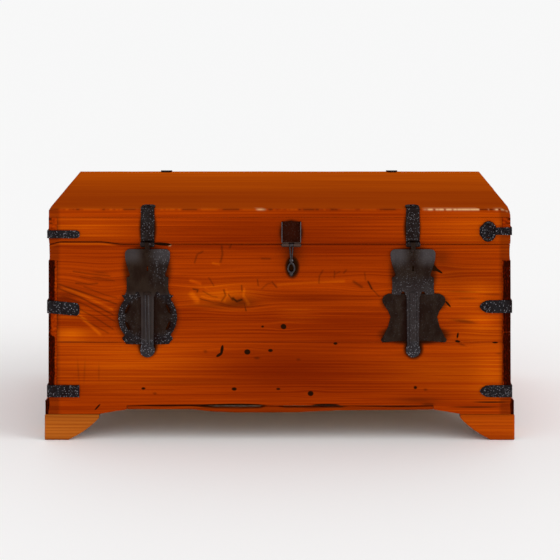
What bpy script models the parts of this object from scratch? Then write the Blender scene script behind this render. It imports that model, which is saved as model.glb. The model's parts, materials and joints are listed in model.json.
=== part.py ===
"""Wooden blanket chest with a hinged lid, two iron hasps and a small iron drop.

Metres, +Z up.  The origin is on the floor under the middle of the chest, the front
faces -Y and the long side runs along X.  Every piece of wood and iron is its own object.
"""

import math

import bmesh
import bpy
from mathutils import Vector

# ---------------------------------------------------------------- driving dimensions
WIDTH = 1.060            # outside of the boards, along X, at WIDTH_LEVEL
WIDTH_LEVEL = 0.203
LEAN = 0.0664            # share of the width that is lost for each metre of height
DEPTH = 0.550            # outside of the boards, along Y
HEIGHT = 0.545           # floor to the top of the lid
SEAM = 0.4633            # where the lid meets the carcass
BOARD = 0.0195           # thickness of the wall boards
TOP_BOARD = 0.020        # thickness of the two boards on top of the lid
GAP = 0.0003             # clearance between pieces that touch
FOOT_TOP = 0.0622        # bracket feet reach from the floor to here
FRONT_JOINT = 0.2348     # edge joint between the two front boards, and the two back boards
SIDE_JOINT = 0.259       # edge joint between the two boards of each side
TONGUE_LOW = 0.108       # the side boards' tongues show on the front between these two
TONGUE_HIGH = 0.427
FLOOR_LOW = 0.113
FLOOR_HIGH = 0.131
FLARE = 0.007            # how far the base boards stand out from the sides
BASE_TOP = 0.1018
FOOT_PROUD = 0.0015      # the front and back brackets stand this far in front of the boards
FOOT_THICK = 0.022
STRIP_LEFT = -0.350      # ends of the loose strip along the front board's lower edge
STRIP_RIGHT = 0.352
STRIP_SEAT = 0.0833      # height of the notch that the strip lies in
LID_TONGUE_LOW = 0.491   # the lid's side rails show on its front between this and the top
IRON = 0.0025            # thickness of the strap iron
CROWN = 0.003            # radius of the rounded edges of the lid's top
BEND_SHARE = 0.15        # iron bent over a rounded edge turns this share of the radius inside
HINGE_X = (-0.300, 0.297)
HASP_X = (-0.3025, 0.3055)
DROP_X = 0.0268

HALF_W = WIDTH / 2
HALF_D = DEPTH / 2
INNER_W = HALF_W - BOARD
INNER_D = HALF_D - BOARD
LID_TOP_LOW = HEIGHT - TOP_BOARD
RAIL_LOW = SEAM + 2 * GAP

COLOURS = {
    "pine_front": ((0.28, 0.042, 0.002), 0.28, 0.0),
    "pine_top": ((0.27, 0.052, 0.003), 0.30, 0.0),
    "pine_inside": ((0.36, 0.20, 0.08), 0.62, 0.0),
    "pine_foot": ((0.30, 0.070, 0.008), 0.36, 0.0),
    "black_iron": ((0.022, 0.018, 0.016), 0.46, 0.9),
    "rusty_iron": ((0.045, 0.014, 0.007), 0.55, 0.7),
    "pin_steel": ((0.060, 0.055, 0.050), 0.40, 1.0),
}


# ---------------------------------------------------------------- helpers
def clear_scene():
    for thing in list(bpy.data.objects):
        bpy.data.objects.remove(thing, do_unlink=True)


def make_materials():
    made = {}
    for name, (colour, roughness, metallic) in COLOURS.items():
        material = bpy.data.materials.new(name)
        material.use_nodes = True
        shader = material.node_tree.nodes["Principled BSDF"]
        shader.inputs["Base Color"].default_value = (*colour, 1.0)
        shader.inputs["Roughness"].default_value = roughness
        shader.inputs["Metallic"].default_value = metallic
        made[name] = material
    return made


def add_object(name, mesh, parent, slot=None):
    """Put a mesh given in world coordinates into the scene, hung from an empty if it has one."""
    thing = bpy.data.objects.new(name, mesh)
    bpy.context.scene.collection.objects.link(thing)
    if parent is not None:
        thing.parent = parent
        thing.location = -parent.location
    if slot:
        mesh.materials.append(MATERIALS[slot])
    return thing


def mesh_from(name, verts, faces):
    mesh = bpy.data.meshes.new(name)
    mesh.from_pydata([tuple(v) for v in verts], [], faces)
    work = bmesh.new()
    work.from_mesh(mesh)
    bmesh.ops.recalc_face_normals(work, faces=work.faces)
    work.to_mesh(mesh)
    work.free()
    return mesh


def empty(name, location):
    thing = bpy.data.objects.new(name, None)
    bpy.context.scene.collection.objects.link(thing)
    thing.location = location
    return thing


AXES = {"X": (1, 2, 0), "Y": (0, 2, 1), "Z": (0, 1, 2)}


def prism_mesh(name, outline, axis, low, high):
    """Extrude a 2-D outline along one axis between two heights."""
    first, second, along = AXES[axis]
    verts = []
    for level in (low, high):
        for point in outline:
            corner = [0.0, 0.0, 0.0]
            corner[first], corner[second], corner[along] = point[0], point[1], level
            verts.append(corner)
    count = len(outline)
    faces = [list(range(count)), [count + i for i in reversed(range(count))]]
    faces += [[i, (i + 1) % count, count + (i + 1) % count, count + i] for i in range(count)]
    return mesh_from(name, verts, faces)


def prism(name, outline, axis, low, high, slot, parent):
    return add_object(name, prism_mesh(name, outline, axis, low, high), parent, slot)


def box(name, low, high, slot, parent):
    outline = [(low[0], low[1]), (high[0], low[1]), (high[0], high[1]), (low[0], high[1])]
    return prism(name, outline, "Z", low[2], high[2], slot, parent)


def soften(thing, width, segments=1):
    """Round the sharp edges of a piece."""
    bevel = thing.modifiers.new("softened edges", "BEVEL")
    bevel.width = width
    bevel.segments = segments
    bevel.limit_method = "ANGLE"
    bevel.angle_limit = math.radians(40)
    return thing


def cutter(name, mesh):
    thing = add_object(name, mesh, None)
    thing.hide_render = True
    thing.display_type = "WIRE"
    return thing


def combine(thing, operand, operation):
    step = thing.modifiers.new(f"{operation.lower()} {operand.name}", "BOOLEAN")
    step.operation = operation
    step.solver = "EXACT"
    step.object = operand


def arc(centre, radius, start, end, steps):
    """Points on a circle between two angles in degrees."""
    points = []
    for i in range(steps + 1):
        angle = math.radians(start + (end - start) * i / steps)
        points.append((centre[0] + radius * math.cos(angle), centre[1] + radius * math.sin(angle)))
    return points


def mirrored(half, centre_x):
    """Close a symmetric outline from its right half, listed from top to bottom."""
    right = [(centre_x + x, z) for x, z in half]
    left = [(centre_x - x, z) for x, z in reversed(half) if abs(x) > 1e-6]
    return right + left


def tube_mesh(name, centre_y, centre_z, radius, x_low, x_high, sides=16):
    """A round bar along X."""
    ring = arc((centre_y, centre_z), radius, 0, 360 - 360 / sides, sides - 1)
    return prism_mesh(name, ring, "X", x_low, x_high)


def swept_strap(name, path, half_widths, middles, axis, slot, parent):
    """Bend flat iron along a path of inner-face points, with its thickness to the right.

    The path lies in the plane across `axis`, which is the direction of the iron's width;
    each station has a half width and a middle along that axis.
    """
    first, second, along = AXES[axis]
    points = [Vector(p) for p in path]
    normals = []
    for a, b in zip(points, points[1:]):
        step = (b - a).normalized()
        normals.append(Vector((step.y, -step.x)))
    verts = []
    for i, point in enumerate(points):
        before = normals[max(i - 1, 0)]
        after = normals[min(i, len(normals) - 1)]
        outward = (before + after) / (1 + before.dot(after)) * IRON
        for offset in (Vector((0, 0)), outward):
            for side in (-1, 1):
                place = point + offset
                corner = [0.0, 0.0, 0.0]
                corner[first], corner[second] = place.x, place.y
                corner[along] = middles[i] + side * half_widths[i]
                verts.append(corner)
    faces = [[0, 1, 3, 2]]
    for i in range(len(points) - 1):
        a, b = 4 * i, 4 * (i + 1)
        faces += [
            [a, a + 1, b + 1, b],
            [a + 2, b + 2, b + 3, a + 3],
            [a, b, b + 2, a + 2],
            [a + 1, a + 3, b + 3, b + 1],
        ]
    last = 4 * (len(points) - 1)
    faces.append([last, last + 2, last + 3, last + 1])
    return add_object(name, mesh_from(name, verts, faces), parent, slot)


def nail_mesh(name, heads, radius=0.0045, height=0.0018, sides=8):
    """Low domed nail heads; each head is a point on the iron and its outward direction."""
    verts, faces = [], []
    for place, outward in heads:
        place, outward = Vector(place), Vector(outward).normalized()
        side = outward.orthogonal().normalized()
        other = outward.cross(side)
        start = len(verts)
        for scale, level in ((1.0, -0.0008), (1.0, 0.3 * height), (0.6, 0.85 * height)):
            for i in range(sides):
                turn = 2 * math.pi * i / sides
                spoke = side * math.cos(turn) + other * math.sin(turn)
                verts.append(place + spoke * radius * scale + outward * level)
        verts.append(place + outward * height)
        faces.append([start + i for i in range(sides)])
        for ring in (0, 1):
            for i in range(sides):
                a = start + ring * sides + i
                b = start + ring * sides + (i + 1) % sides
                faces.append([a, b, b + sides, a + sides])
        top = start + 3 * sides
        for i in range(sides):
            faces.append([start + 2 * sides + i, start + 2 * sides + (i + 1) % sides, top])
    return mesh_from(name, verts, faces)


def nail_down(thing, heads, **shape):
    """Join nail heads onto a piece of iron."""
    name = f"{thing.name}_nails"
    combine(thing, cutter(name, nail_mesh(name, heads, **shape)), "UNION")


def mirror_x(outline, side):
    return [(side * x, z) for x, z in outline]


# ---------------------------------------------------------------- carcass
def lower_edge_outline(top, notched):
    """Outline of a lower board seen from the front, with its shaped lower edge."""
    low = FOOT_TOP + GAP
    rise_start, rise_middle, rise_top = 0.415, 0.385, 0.0738
    middle = (low + rise_top) / 2
    finger = INNER_W - GAP
    outline = [(-HALF_W, low), (-rise_start, low)]
    if notched:
        outline += [(-rise_middle, middle), (STRIP_LEFT, rise_top), (STRIP_LEFT, STRIP_SEAT)]
        outline += [(STRIP_RIGHT, STRIP_SEAT), (STRIP_RIGHT, rise_top), (rise_middle, middle)]
    outline += [(rise_start, low), (HALF_W, low), (HALF_W, TONGUE_LOW)]
    outline += [(finger, TONGUE_LOW), (finger, top), (-finger, top), (-finger, TONGUE_LOW)]
    outline.append((-HALF_W, TONGUE_LOW))
    return outline


def upper_edge_outline(low):
    """Outline of an upper board: narrow beside the tongues, full width above them."""
    finger = INNER_W - GAP
    outline = [(-finger, low), (finger, low), (finger, TONGUE_HIGH), (HALF_W, TONGUE_HIGH)]
    outline += [(HALF_W, SEAM), (-HALF_W, SEAM), (-HALF_W, TONGUE_HIGH), (-finger, TONGUE_HIGH)]
    return outline


def front_and_back(parent):
    for side, face in (("front", -1), ("back", 1)):
        low, high = sorted((face * HALF_D, face * INNER_D))
        lower = lower_edge_outline(FRONT_JOINT, notched=side == "front")
        prism(f"{side}_board_lower", lower, "Y", low, high, "pine_front", parent)
        upper = upper_edge_outline(FRONT_JOINT + GAP)
        prism(f"{side}_board_upper", upper, "Y", low, high, "pine_front", parent)


def side_boards(parent):
    """The side boards' tongues pass through the front and back boards."""
    low = FOOT_TOP + GAP
    inner = INNER_D - GAP
    tongue_low = TONGUE_LOW + GAP
    tongue_high = TONGUE_HIGH - GAP
    lower = [(-inner, low), (inner, low), (inner, tongue_low), (HALF_D, tongue_low)]
    lower += [(HALF_D, SIDE_JOINT), (-HALF_D, SIDE_JOINT), (-HALF_D, tongue_low)]
    lower.append((-inner, tongue_low))
    joint = SIDE_JOINT + GAP
    upper = [(-HALF_D, joint), (HALF_D, joint), (HALF_D, tongue_high), (inner, tongue_high)]
    upper += [(inner, SEAM), (-inner, SEAM), (-inner, tongue_high), (-HALF_D, tongue_high)]
    for side, sign in (("left", -1), ("right", 1)):
        edges = sorted((sign * HALF_W, sign * INNER_W))
        prism(f"side_board_{side}_lower", lower, "X", *edges, "pine_front", parent)
        prism(f"side_board_{side}_upper", upper, "X", *edges, "pine_front", parent)


def floor_boards(parent):
    reach_x, reach_y = INNER_W - GAP, INNER_D - GAP
    for name, y_low, y_high in (("front", -reach_y, -GAP / 2), ("back", GAP / 2, reach_y)):
        low = (-reach_x, y_low, FLOOR_LOW)
        high = (reach_x, y_high, FLOOR_HIGH)
        box(f"floor_board_{name}", low, high, "pine_inside", parent)


def front_edge_strip(parent):
    """A long splinter-thin strip that fills the notch, bowed away from it in places."""
    top = [(0.352, 0.0813), (0.270, 0.0788), (0.160, 0.0823), (0.140, 0.0785), (0.010, 0.0778)]
    top += [(-0.005, 0.0813), (-0.032, 0.0811), (-0.046, 0.0761), (-0.150, 0.0767)]
    top += [(-0.200, 0.0821), (-0.350, 0.0823)]
    bottom = [(-0.350, 0.0743), (-0.200, 0.0741), (-0.150, 0.0683), (-0.100, 0.0665)]
    bottom += [(0.040, 0.0668), (0.130, 0.0715), (0.352, 0.0733)]
    outline = [(min(max(x, STRIP_LEFT + GAP), STRIP_RIGHT - GAP), z) for x, z in top + bottom]
    low, high = -HALF_D + 0.0005, -INNER_D - 0.001
    prism("front_edge_strip", outline, "Y", low, high, "pine_front", parent)


def base_boards(parent):
    """Bevelled boards that run along the foot of each side."""
    low = FOOT_TOP + GAP
    bevel = 0.006
    for side, sign in (("left", -1), ("right", 1)):
        face = HALF_W + GAP
        outline = [(face, low), (HALF_W + FLARE, low), (HALF_W + FLARE, BASE_TOP - bevel)]
        outline += [(face + 0.001, BASE_TOP), (face, BASE_TOP)]
        outline = mirror_x(outline, sign)
        prism(f"base_board_{side}", outline, "Y", -HALF_D, HALF_D, "pine_front", parent)


# ---------------------------------------------------------------- feet
def foot_outline(inner, outer, top):
    """A bracket foot: a short straight drop, then a hollow curve down to the floor."""
    toe = outer - 0.055
    drop = top - 0.009
    swing = 0.045
    points = [(outer, 0.0), (outer, top), (inner, top), (inner + 0.001, drop)]
    chord = Vector((toe - inner, -drop))
    across = Vector((chord.y, -chord.x)).normalized()
    steps = 7
    for i in range(1, steps):
        t = i / steps
        sag = swing * chord.length * math.sin(math.pi * t)
        points.append((inner + chord.x * t + across.x * sag, drop + chord.y * t + across.y * sag))
    points.append((toe, 0.0))
    return points


def feet(parent):
    """Each corner has a bracket along the front or back and a second one along the side."""
    outer_x = HALF_W + FLARE + 0.0015
    front_face = HALF_D + FOOT_PROUD
    back_of_bracket = front_face - FOOT_THICK
    top = FOOT_TOP
    for end, face in (("front", -1), ("back", 1)):
        for side, sign in (("left", -1), ("right", 1)):
            outline = mirror_x(foot_outline(0.4125, outer_x, top), sign)
            low, high = sorted((face * front_face, face * back_of_bracket))
            name = f"foot_{end}_{side}"
            soften(prism(name, outline, "Y", low, high, "pine_foot", parent), 0.002)
            reach = back_of_bracket - GAP
            outline = mirror_x(foot_outline(reach - 0.105, reach, top), face)
            low, high = sorted((sign * outer_x, sign * (outer_x - FOOT_THICK)))
            name = f"foot_{end}_{side}_side"
            soften(prism(name, outline, "X", low, high, "pine_foot", parent), 0.002)


# ---------------------------------------------------------------- lid
def lid_boards(parent):
    low = LID_TOP_LOW
    for name, y_low, y_high in (("front", -HALF_D, -GAP / 2), ("back", GAP / 2, HALF_D)):
        board = box(
            f"lid_board_{name}", (-HALF_W, y_low, low), (HALF_W, y_high, HEIGHT), "pine_top", parent
        )
        round_outer_edges(board, CROWN)


def round_outer_edges(board, radius):
    """Round the edges of a lid board that lie on the outside of the lid's top."""
    work = bmesh.new()
    work.from_mesh(board.data)
    outer = []
    for edge in work.edges:
        middle = (edge.verts[0].co + edge.verts[1].co) / 2
        on_top = abs(middle.z - HEIGHT) < 1e-5
        at_end = abs(abs(middle.x) - HALF_W) < 1e-5
        at_face = abs(abs(middle.y) - HALF_D) < 1e-5
        upright = abs(edge.verts[0].co.z - edge.verts[1].co.z) > 1e-4
        if (on_top and (at_end or at_face)) or (upright and at_end and at_face):
            outer.append(edge)
    bmesh.ops.bevel(work, geom=outer, offset=radius, segments=3, profile=0.5, affect="EDGES")
    bmesh.ops.recalc_face_normals(work, faces=work.faces)
    work.to_mesh(board.data)
    work.free()


def lid_rails(parent):
    top = LID_TOP_LOW - GAP
    finger = INNER_W - GAP
    step = LID_TONGUE_LOW - GAP
    front = [(-HALF_W, RAIL_LOW), (HALF_W, RAIL_LOW), (HALF_W, step), (finger, step)]
    front += [(finger, top), (-finger, top), (-finger, step), (-HALF_W, step)]
    for name, face in (("front", -1), ("back", 1)):
        low, high = sorted((face * HALF_D, face * INNER_D))
        prism(f"lid_rail_{name}", front, "Y", low, high, "pine_front", parent)
    inner = INNER_D - GAP
    side_outline = [(-inner, RAIL_LOW), (inner, RAIL_LOW), (inner, LID_TONGUE_LOW)]
    side_outline += [(HALF_D, LID_TONGUE_LOW), (HALF_D, top), (-HALF_D, top)]
    side_outline += [(-HALF_D, LID_TONGUE_LOW), (-inner, LID_TONGUE_LOW)]
    for name, sign in (("left", -1), ("right", 1)):
        low, high = sorted((sign * HALF_W, sign * INNER_W))
        prism(f"lid_rail_{name}", side_outline, "X", low, high, "pine_front", parent)


def lid_battens(parent):
    """Two battens under the lid hold its two boards together."""
    top = LID_TOP_LOW - GAP
    reach = INNER_D - GAP
    for name, x in (("left", -0.255), ("right", 0.255)):
        low = (x - 0.022, -reach, top - 0.018)
        high = (x + 0.022, reach, top)
        soften(box(f"lid_batten_{name}", low, high, "pine_inside", parent), 0.002)


# ---------------------------------------------------------------- lid hinges
HINGE_AXIS_Z = SEAM + GAP
HINGE_BARREL = 0.0045
HINGE_PIN = 0.0021
HINGE_BORE = 0.0025
HINGE_AXIS_Y = HALF_D + GAP + HINGE_BARREL


BORE_REACH = 0.03        # half the length of the cutter for a pin hole
PIN_PROUD = 0.001        # how far a pin's ends stand out of its knuckles


def bored(name, thing, centre_y, centre_z, radius, x):
    """Cut a hole along X for a pin."""
    hole = tube_mesh(name, centre_y, centre_z, radius, x - BORE_REACH, x + BORE_REACH, sides=12)
    combine(thing, cutter(name, hole), "DIFFERENCE")


def barrel(name, centre_y, centre_z, radius, x_low, x_high):
    return cutter(name, tube_mesh(name, centre_y, centre_z, radius, x_low, x_high))


def lid_hinge(label, x, lid, carcass):
    """A strap hinge on the back: the lid's strap wraps over the lid's back edge."""
    half = 0.015
    knuckle = 0.006
    face = HALF_D + GAP
    top = HEIGHT + GAP
    wrap = 0.020
    bend = CROWN * BEND_SHARE
    path = [(face, HINGE_AXIS_Z + 0.002), (face, top - CROWN)]
    path += [(face - bend, top - bend), (face - CROWN, top), (face - wrap, top)]
    middles = [x] * len(path)
    widths = [half] * (len(path) - 1) + [0.7 * half]
    leaf = swept_strap(f"hinge_{label}_lid_leaf", path, widths, middles, "X", "black_iron", lid)
    centre = (HINGE_AXIS_Y, HINGE_AXIS_Z, HINGE_BARREL)
    name = f"hinge_{label}_lid_barrel"
    combine(leaf, barrel(name, *centre, x - knuckle - GAP, x + knuckle + GAP), "UNION")
    notch = 0.008
    for end, sign in (("a", -1), ("b", 1)):
        edges = sorted((x + sign * knuckle, x + sign * (half + 0.004)))
        low = (edges[0], face - 0.002, HINGE_AXIS_Z - notch)
        high = (edges[1], face + 0.012, HINGE_AXIS_Z + notch)
        relief = box_cutter(f"hinge_{label}_lid_relief_{end}", low, high)
        combine(leaf, relief, "DIFFERENCE")
    bored(f"hinge_{label}_lid_bore", leaf, HINGE_AXIS_Y, HINGE_AXIS_Z, HINGE_BORE, x)
    nail_face = face + IRON
    heads = [((x, nail_face, z), (0, 1, 0)) for z in (0.489, 0.519)]
    nail_down(leaf, heads)

    low_end = 0.376
    path = [(face, low_end), (face, low_end + 0.012), (face, HINGE_AXIS_Z - 0.002)]
    middles = [x] * len(path)
    widths = [0.45 * half, half, half]
    lower = swept_strap(f"hinge_{label}_body_leaf", path, widths, middles, "X",
                        "black_iron", carcass)
    for end, sign in (("a", -1), ("b", 1)):
        edges = sorted((x + sign * knuckle, x + sign * (half + GAP)))
        name = f"hinge_{label}_body_barrel_{end}"
        combine(lower, barrel(name, *centre, *edges), "UNION")
    low = (x - knuckle - GAP, face - 0.002, HINGE_AXIS_Z - notch)
    high = (x + knuckle + GAP, face + 0.012, HINGE_AXIS_Z + notch)
    combine(lower, box_cutter(f"hinge_{label}_body_relief", low, high), "DIFFERENCE")
    bored(f"hinge_{label}_body_bore", lower, HINGE_AXIS_Y, HINGE_AXIS_Z, HINGE_BORE, x)
    heads = [((x, nail_face, z), (0, 1, 0)) for z in (0.440, 0.415, 0.393)]
    nail_down(lower, heads)

    pin = tube_mesh(f"hinge_{label}_pin", HINGE_AXIS_Y, HINGE_AXIS_Z, HINGE_PIN,
                    x - half - PIN_PROUD, x + half + PIN_PROUD, sides=12)
    add_object(f"hinge_{label}_pin", pin, carcass, "pin_steel")


def box_cutter(name, low, high):
    outline = [(low[0], low[1]), (high[0], low[1]), (high[0], high[1]), (low[0], high[1])]
    return cutter(name, prism_mesh(name, outline, "Z", low[2], high[2]))


# ---------------------------------------------------------------- hasps and lock plates
HASP_AXIS_Z = 0.4648
HASP_BARREL = 0.0062
HASP_PIN = 0.0026
HASP_BORE = 0.0030
HASP_AXIS_Y = -HALF_D - 0.0012 - HASP_BARREL
HASP_FACE = -HALF_D - GAP - 0.0020 - 2 * GAP    # inner face of the hasp plate
HASP_PLATE = 0.0022
HASP_KNUCKLE = 0.0055
RIB_HALF = 0.0088
RIB_HIGH = 0.0042
SUNK = 0.0004                                   # raised details start this deep in the plate
STRAP_HALF = 0.0155


def lid_strap(label, x, lid):
    """Iron strap nailed over the lid's front edge; its end is rolled into two knuckles."""
    face = -HALF_D - GAP
    top = HEIGHT + GAP
    reach = 0.040
    bend = CROWN * BEND_SHARE
    path = [(face + reach, top), (face + reach - 0.010, top), (face + CROWN, top)]
    path += [(face + bend, top - bend), (face, top - CROWN)]
    path.append((face, HASP_AXIS_Z + 0.001))
    middles = [x] * len(path)
    widths = [0.55 * STRAP_HALF] + [STRAP_HALF] * (len(path) - 1)
    strap = swept_strap(f"hasp_{label}_strap", path, widths, middles, "X", "black_iron", lid)
    centre = (HASP_AXIS_Y, HASP_AXIS_Z, HASP_BARREL)
    notch = HASP_BARREL + 0.001
    for end, sign in (("a", -1), ("b", 1)):
        edges = sorted((x + sign * HASP_KNUCKLE, x + sign * (STRAP_HALF + GAP)))
        name = f"hasp_{label}_strap_barrel_{end}"
        combine(strap, barrel(name, *centre, *edges), "UNION")
    low = (x - HASP_KNUCKLE - GAP, face - 0.016, HASP_AXIS_Z - notch)
    high = (x + HASP_KNUCKLE + GAP, face + 0.002, HASP_AXIS_Z + notch)
    combine(strap, box_cutter(f"hasp_{label}_strap_relief", low, high), "DIFFERENCE")
    bored(f"hasp_{label}_strap_bore", strap, HASP_AXIS_Y, HASP_AXIS_Z, HASP_BORE, x)
    heads = [((x, face - IRON, 0.530), (0, -1, 0)), ((x, face - IRON, 0.496), (0, -1, 0))]
    heads.append(((x, face + 0.024, top + IRON), (0, 0, 1)))
    nail_down(strap, heads)


def hasp_outline(x):
    """Plate with round shoulders over a waist, a square skirt, then a long narrow tongue."""
    half = [(0.0, 0.4528), (0.037, 0.4533)]
    half += arc((0.0410, 0.4423), 0.0108, 80, -10, 4)
    half += [(0.0508, 0.4290), (0.0475, 0.4165), (0.0438, 0.4051), (0.0405, 0.3960)]
    half += [(0.0402, 0.3928), (0.0420, 0.3895), (0.0478, 0.3880)]
    half += [(0.0475, 0.3603), (0.0490, 0.3543), (0.0475, 0.3483), (0.0290, 0.3468)]
    half += arc((0.0230, 0.3508), 0.0045, -10, 190, 4)
    half += [(0.0148, 0.3423), (0.0138, 0.2283), (0.0165, 0.2203)]
    half += arc((0.0, 0.2168), 0.0165, -10, -90, 4)
    half[-1] = (0.0, half[-1][1])
    return mirrored(half, x)


def hasp(label, x, body):
    """The swinging hasp: flat plate, ribbed tongue and the knuckle that holds it."""
    near = HASP_FACE
    far = HASP_FACE - HASP_PLATE
    thing = prism(f"hasp_{label}", hasp_outline(x), "Y", far, near, "black_iron", body)
    neck = [(near, 0.4443), (near, HASP_AXIS_Z), (HASP_AXIS_Y - HASP_BARREL, HASP_AXIS_Z)]
    neck += [(HASP_AXIS_Y - HASP_BARREL, HASP_AXIS_Z - 0.004), (far - 0.001, 0.4443)]
    neck = prism_mesh(f"hasp_{label}_neck", neck, "X", x - HASP_KNUCKLE, x + HASP_KNUCKLE)
    combine(thing, cutter(f"hasp_{label}_neck", neck), "UNION")
    name = f"hasp_{label}_barrel"
    centre = (HASP_AXIS_Y, HASP_AXIS_Z, HASP_BARREL)
    combine(thing, barrel(name, *centre, x - HASP_KNUCKLE, x + HASP_KNUCKLE), "UNION")
    bored(f"hasp_{label}_bore", thing, HASP_AXIS_Y, HASP_AXIS_Z, HASP_BORE, x)
    rib = [(x + RIB_HALF * px, far + SUNK - RIB_HIGH * py) for px, py in arc((0, 0), 1, 0, 180, 6)]
    rib = prism_mesh(f"hasp_{label}_rib", rib, "Z", 0.2243, 0.3543)
    combine(thing, cutter(f"hasp_{label}_rib", rib), "UNION")
    slot_low = (x - 0.0016, far - 0.004, 0.4028)
    slot_high = (x + 0.0016, near + 0.004, 0.4138)
    combine(thing, box_cutter(f"hasp_{label}_slot", slot_low, slot_high), "DIFFERENCE")
    pin = tube_mesh(f"hasp_{label}_pin", HASP_AXIS_Y, HASP_AXIS_Z, HASP_PIN,
                    x - STRAP_HALF - PIN_PROUD, x + STRAP_HALF + PIN_PROUD, sides=12)
    return pin


def shield_outline(x):
    """The left lock plate: nearly round, with nibbled corners."""
    half = [(0.0, 0.3543), (0.0490, 0.3543)]
    half += arc((0.0570, 0.3533), 0.0080, 180, 290, 3)
    half += arc((0.0020, 0.2943), 0.0655, 40, -40, 7)
    half += arc((0.0520, 0.2443), 0.0060, 20, -70, 2)
    half += [(0.0490, 0.2313), (0.0200, 0.2305), (0.0, 0.2313)]
    return mirrored(half, x)


def butterfly_outline(x):
    """The right lock plate: two pairs of lobes about a waist."""
    half = [(0.0, 0.3483), (0.0580, 0.3498)]
    half += arc((0.0580, 0.3340), 0.0145, 80, -40, 5)
    half += [(0.0590, 0.3090), (0.0535, 0.2950), (0.0590, 0.2723), (0.0710, 0.2473)]
    half += arc((0.0690, 0.2408), 0.0062, 40, -70, 3)
    half += [(0.0300, 0.2388), (0.0, 0.2403)]
    return mirrored(half, x)


def slit_outline(x, quadrant_x, quadrant_z):
    """A crescent that follows a ring about the plate's middle."""
    centre_z = 0.2943
    outer = arc((0, 0), 0.0530, 9, 37, 4)
    inner = arc((0, 0), 0.0490, 31, 14, 3)
    return [(x + quadrant_x * px, centre_z + quadrant_z * pz) for px, pz in outer + inner]


def lock_plates(carcass):
    near = -HALF_D - GAP
    far = near - 0.0020
    x = HASP_X[0]
    plate = prism("lock_plate_left", shield_outline(x), "Y", far, near, "black_iron", carcass)
    for qx in (-1, 1):
        for qz in (-1, 1):
            name = f"slit_{'l' if qx < 0 else 'r'}{'d' if qz < 0 else 'u'}"
            slit = prism_mesh(name, slit_outline(x, qx, qz), "Y", far - 0.004, near + 0.004)
            combine(plate, cutter(name, slit), "DIFFERENCE")
    x = HASP_X[1] + 0.002
    prism("lock_plate_right", butterfly_outline(x), "Y", far, near, "black_iron", carcass)


# ---------------------------------------------------------------- centre plate and drop
DROP_AXIS_Z = 0.4625
DROP_BARREL = 0.0042
DROP_PIN = 0.0017
DROP_BORE = 0.0021
DROP_AXIS_Y = -HALF_D - 0.0012 - DROP_BARREL
DROP_KNUCKLE = 0.0050
PLATE_HALF = 0.0222
EYE_DROP = 0.0522        # how far the eye is below the axis


def centre_plate(lid):
    """A small iron plate with a raised rim on the lid's front."""
    x = DROP_X
    near = -HALF_D - GAP
    far = near - 0.0020
    low, high = 0.4675, 0.5160
    outline = [(x - PLATE_HALF, low), (x + PLATE_HALF, low), (x + PLATE_HALF, high)]
    outline += [(x + 0.004, high), (x, high + 0.0015), (x - 0.004, high), (x - PLATE_HALF, high)]
    plate = prism("drop_plate", outline, "Y", far, near, "rusty_iron", lid)
    rim = 0.0030
    for name, side in (("left", -1), ("right", 1)):
        edges = sorted((x + side * (PLATE_HALF + GAP), x + side * (PLATE_HALF - rim)))
        bar = box_cutter(f"drop_plate_rim_{name}", (edges[0], far - rim / 2, low + SUNK),
                         (edges[1], near - SUNK, high - SUNK))
        combine(plate, bar, "UNION")
    for end, side in (("a", -1), ("b", 1)):
        edges = sorted((x + side * (DROP_KNUCKLE + GAP), x + side * (PLATE_HALF - GAP)))
        name = f"drop_plate_barrel_{end}"
        barrel_tool = barrel(name, DROP_AXIS_Y, DROP_AXIS_Z, DROP_BARREL, *edges)
        combine(plate, barrel_tool, "UNION")
        web = 0.0010
        low_web = (edges[0] + web, DROP_AXIS_Y, DROP_AXIS_Z + web)
        high_web = (edges[1] - web, near - SUNK, low + web)
        combine(plate, box_cutter(f"drop_plate_web_{end}", low_web, high_web), "UNION")
    bored("drop_plate_bore", plate, DROP_AXIS_Y, DROP_AXIS_Z, DROP_BORE, x)
    corners = [(x + sx * 0.0145, far, z) for sx in (-1, 1) for z in (0.4773, 0.5078)]
    nail_down(plate, [(place, (0, -1, 0)) for place in corners], radius=0.0028, height=0.0012)


def drop_outline(x):
    """Narrow shank, a small ring, an eye and a nub, measured down from the axis."""
    half = [(0.0, 0.0), (0.0045, -0.0010), (0.0034, -0.0155), (0.0038, -0.0265)]
    half += [(0.0062, -0.0325), (0.0060, -0.0375), (0.0048, -0.0405)]
    half += arc((0.0, -EYE_DROP), 0.0092, 40, -40, 4)
    half += [(0.0056, -0.0620), (0.0064, -0.0665), (0.0048, -0.0705), (0.0, -0.0712)]
    return mirrored([(px, DROP_AXIS_Z + pz) for px, pz in half], x)


def drop(body):
    """The iron drop that hangs over the seam from the centre plate."""
    x = DROP_X
    near = -HALF_D - 0.0018
    far = near - 0.0060
    thing = prism("drop", drop_outline(x), "Y", far, near, "black_iron", body)
    name = "drop_barrel"
    tool = barrel(name, DROP_AXIS_Y, DROP_AXIS_Z, DROP_BARREL, x - DROP_KNUCKLE, x + DROP_KNUCKLE)
    combine(thing, tool, "UNION")
    bored("drop_bore", thing, DROP_AXIS_Y, DROP_AXIS_Z, DROP_BORE, x)
    eye = [(x + 0.0048 * math.cos(a), DROP_AXIS_Z - EYE_DROP + 0.0080 * math.sin(a))
           for a in (2 * math.pi * i / 12 for i in range(12))]
    combine(thing, cutter("drop_eye", prism_mesh("drop_eye", eye, "Y", far - 0.01, near + 0.01)),
            "DIFFERENCE")


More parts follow.
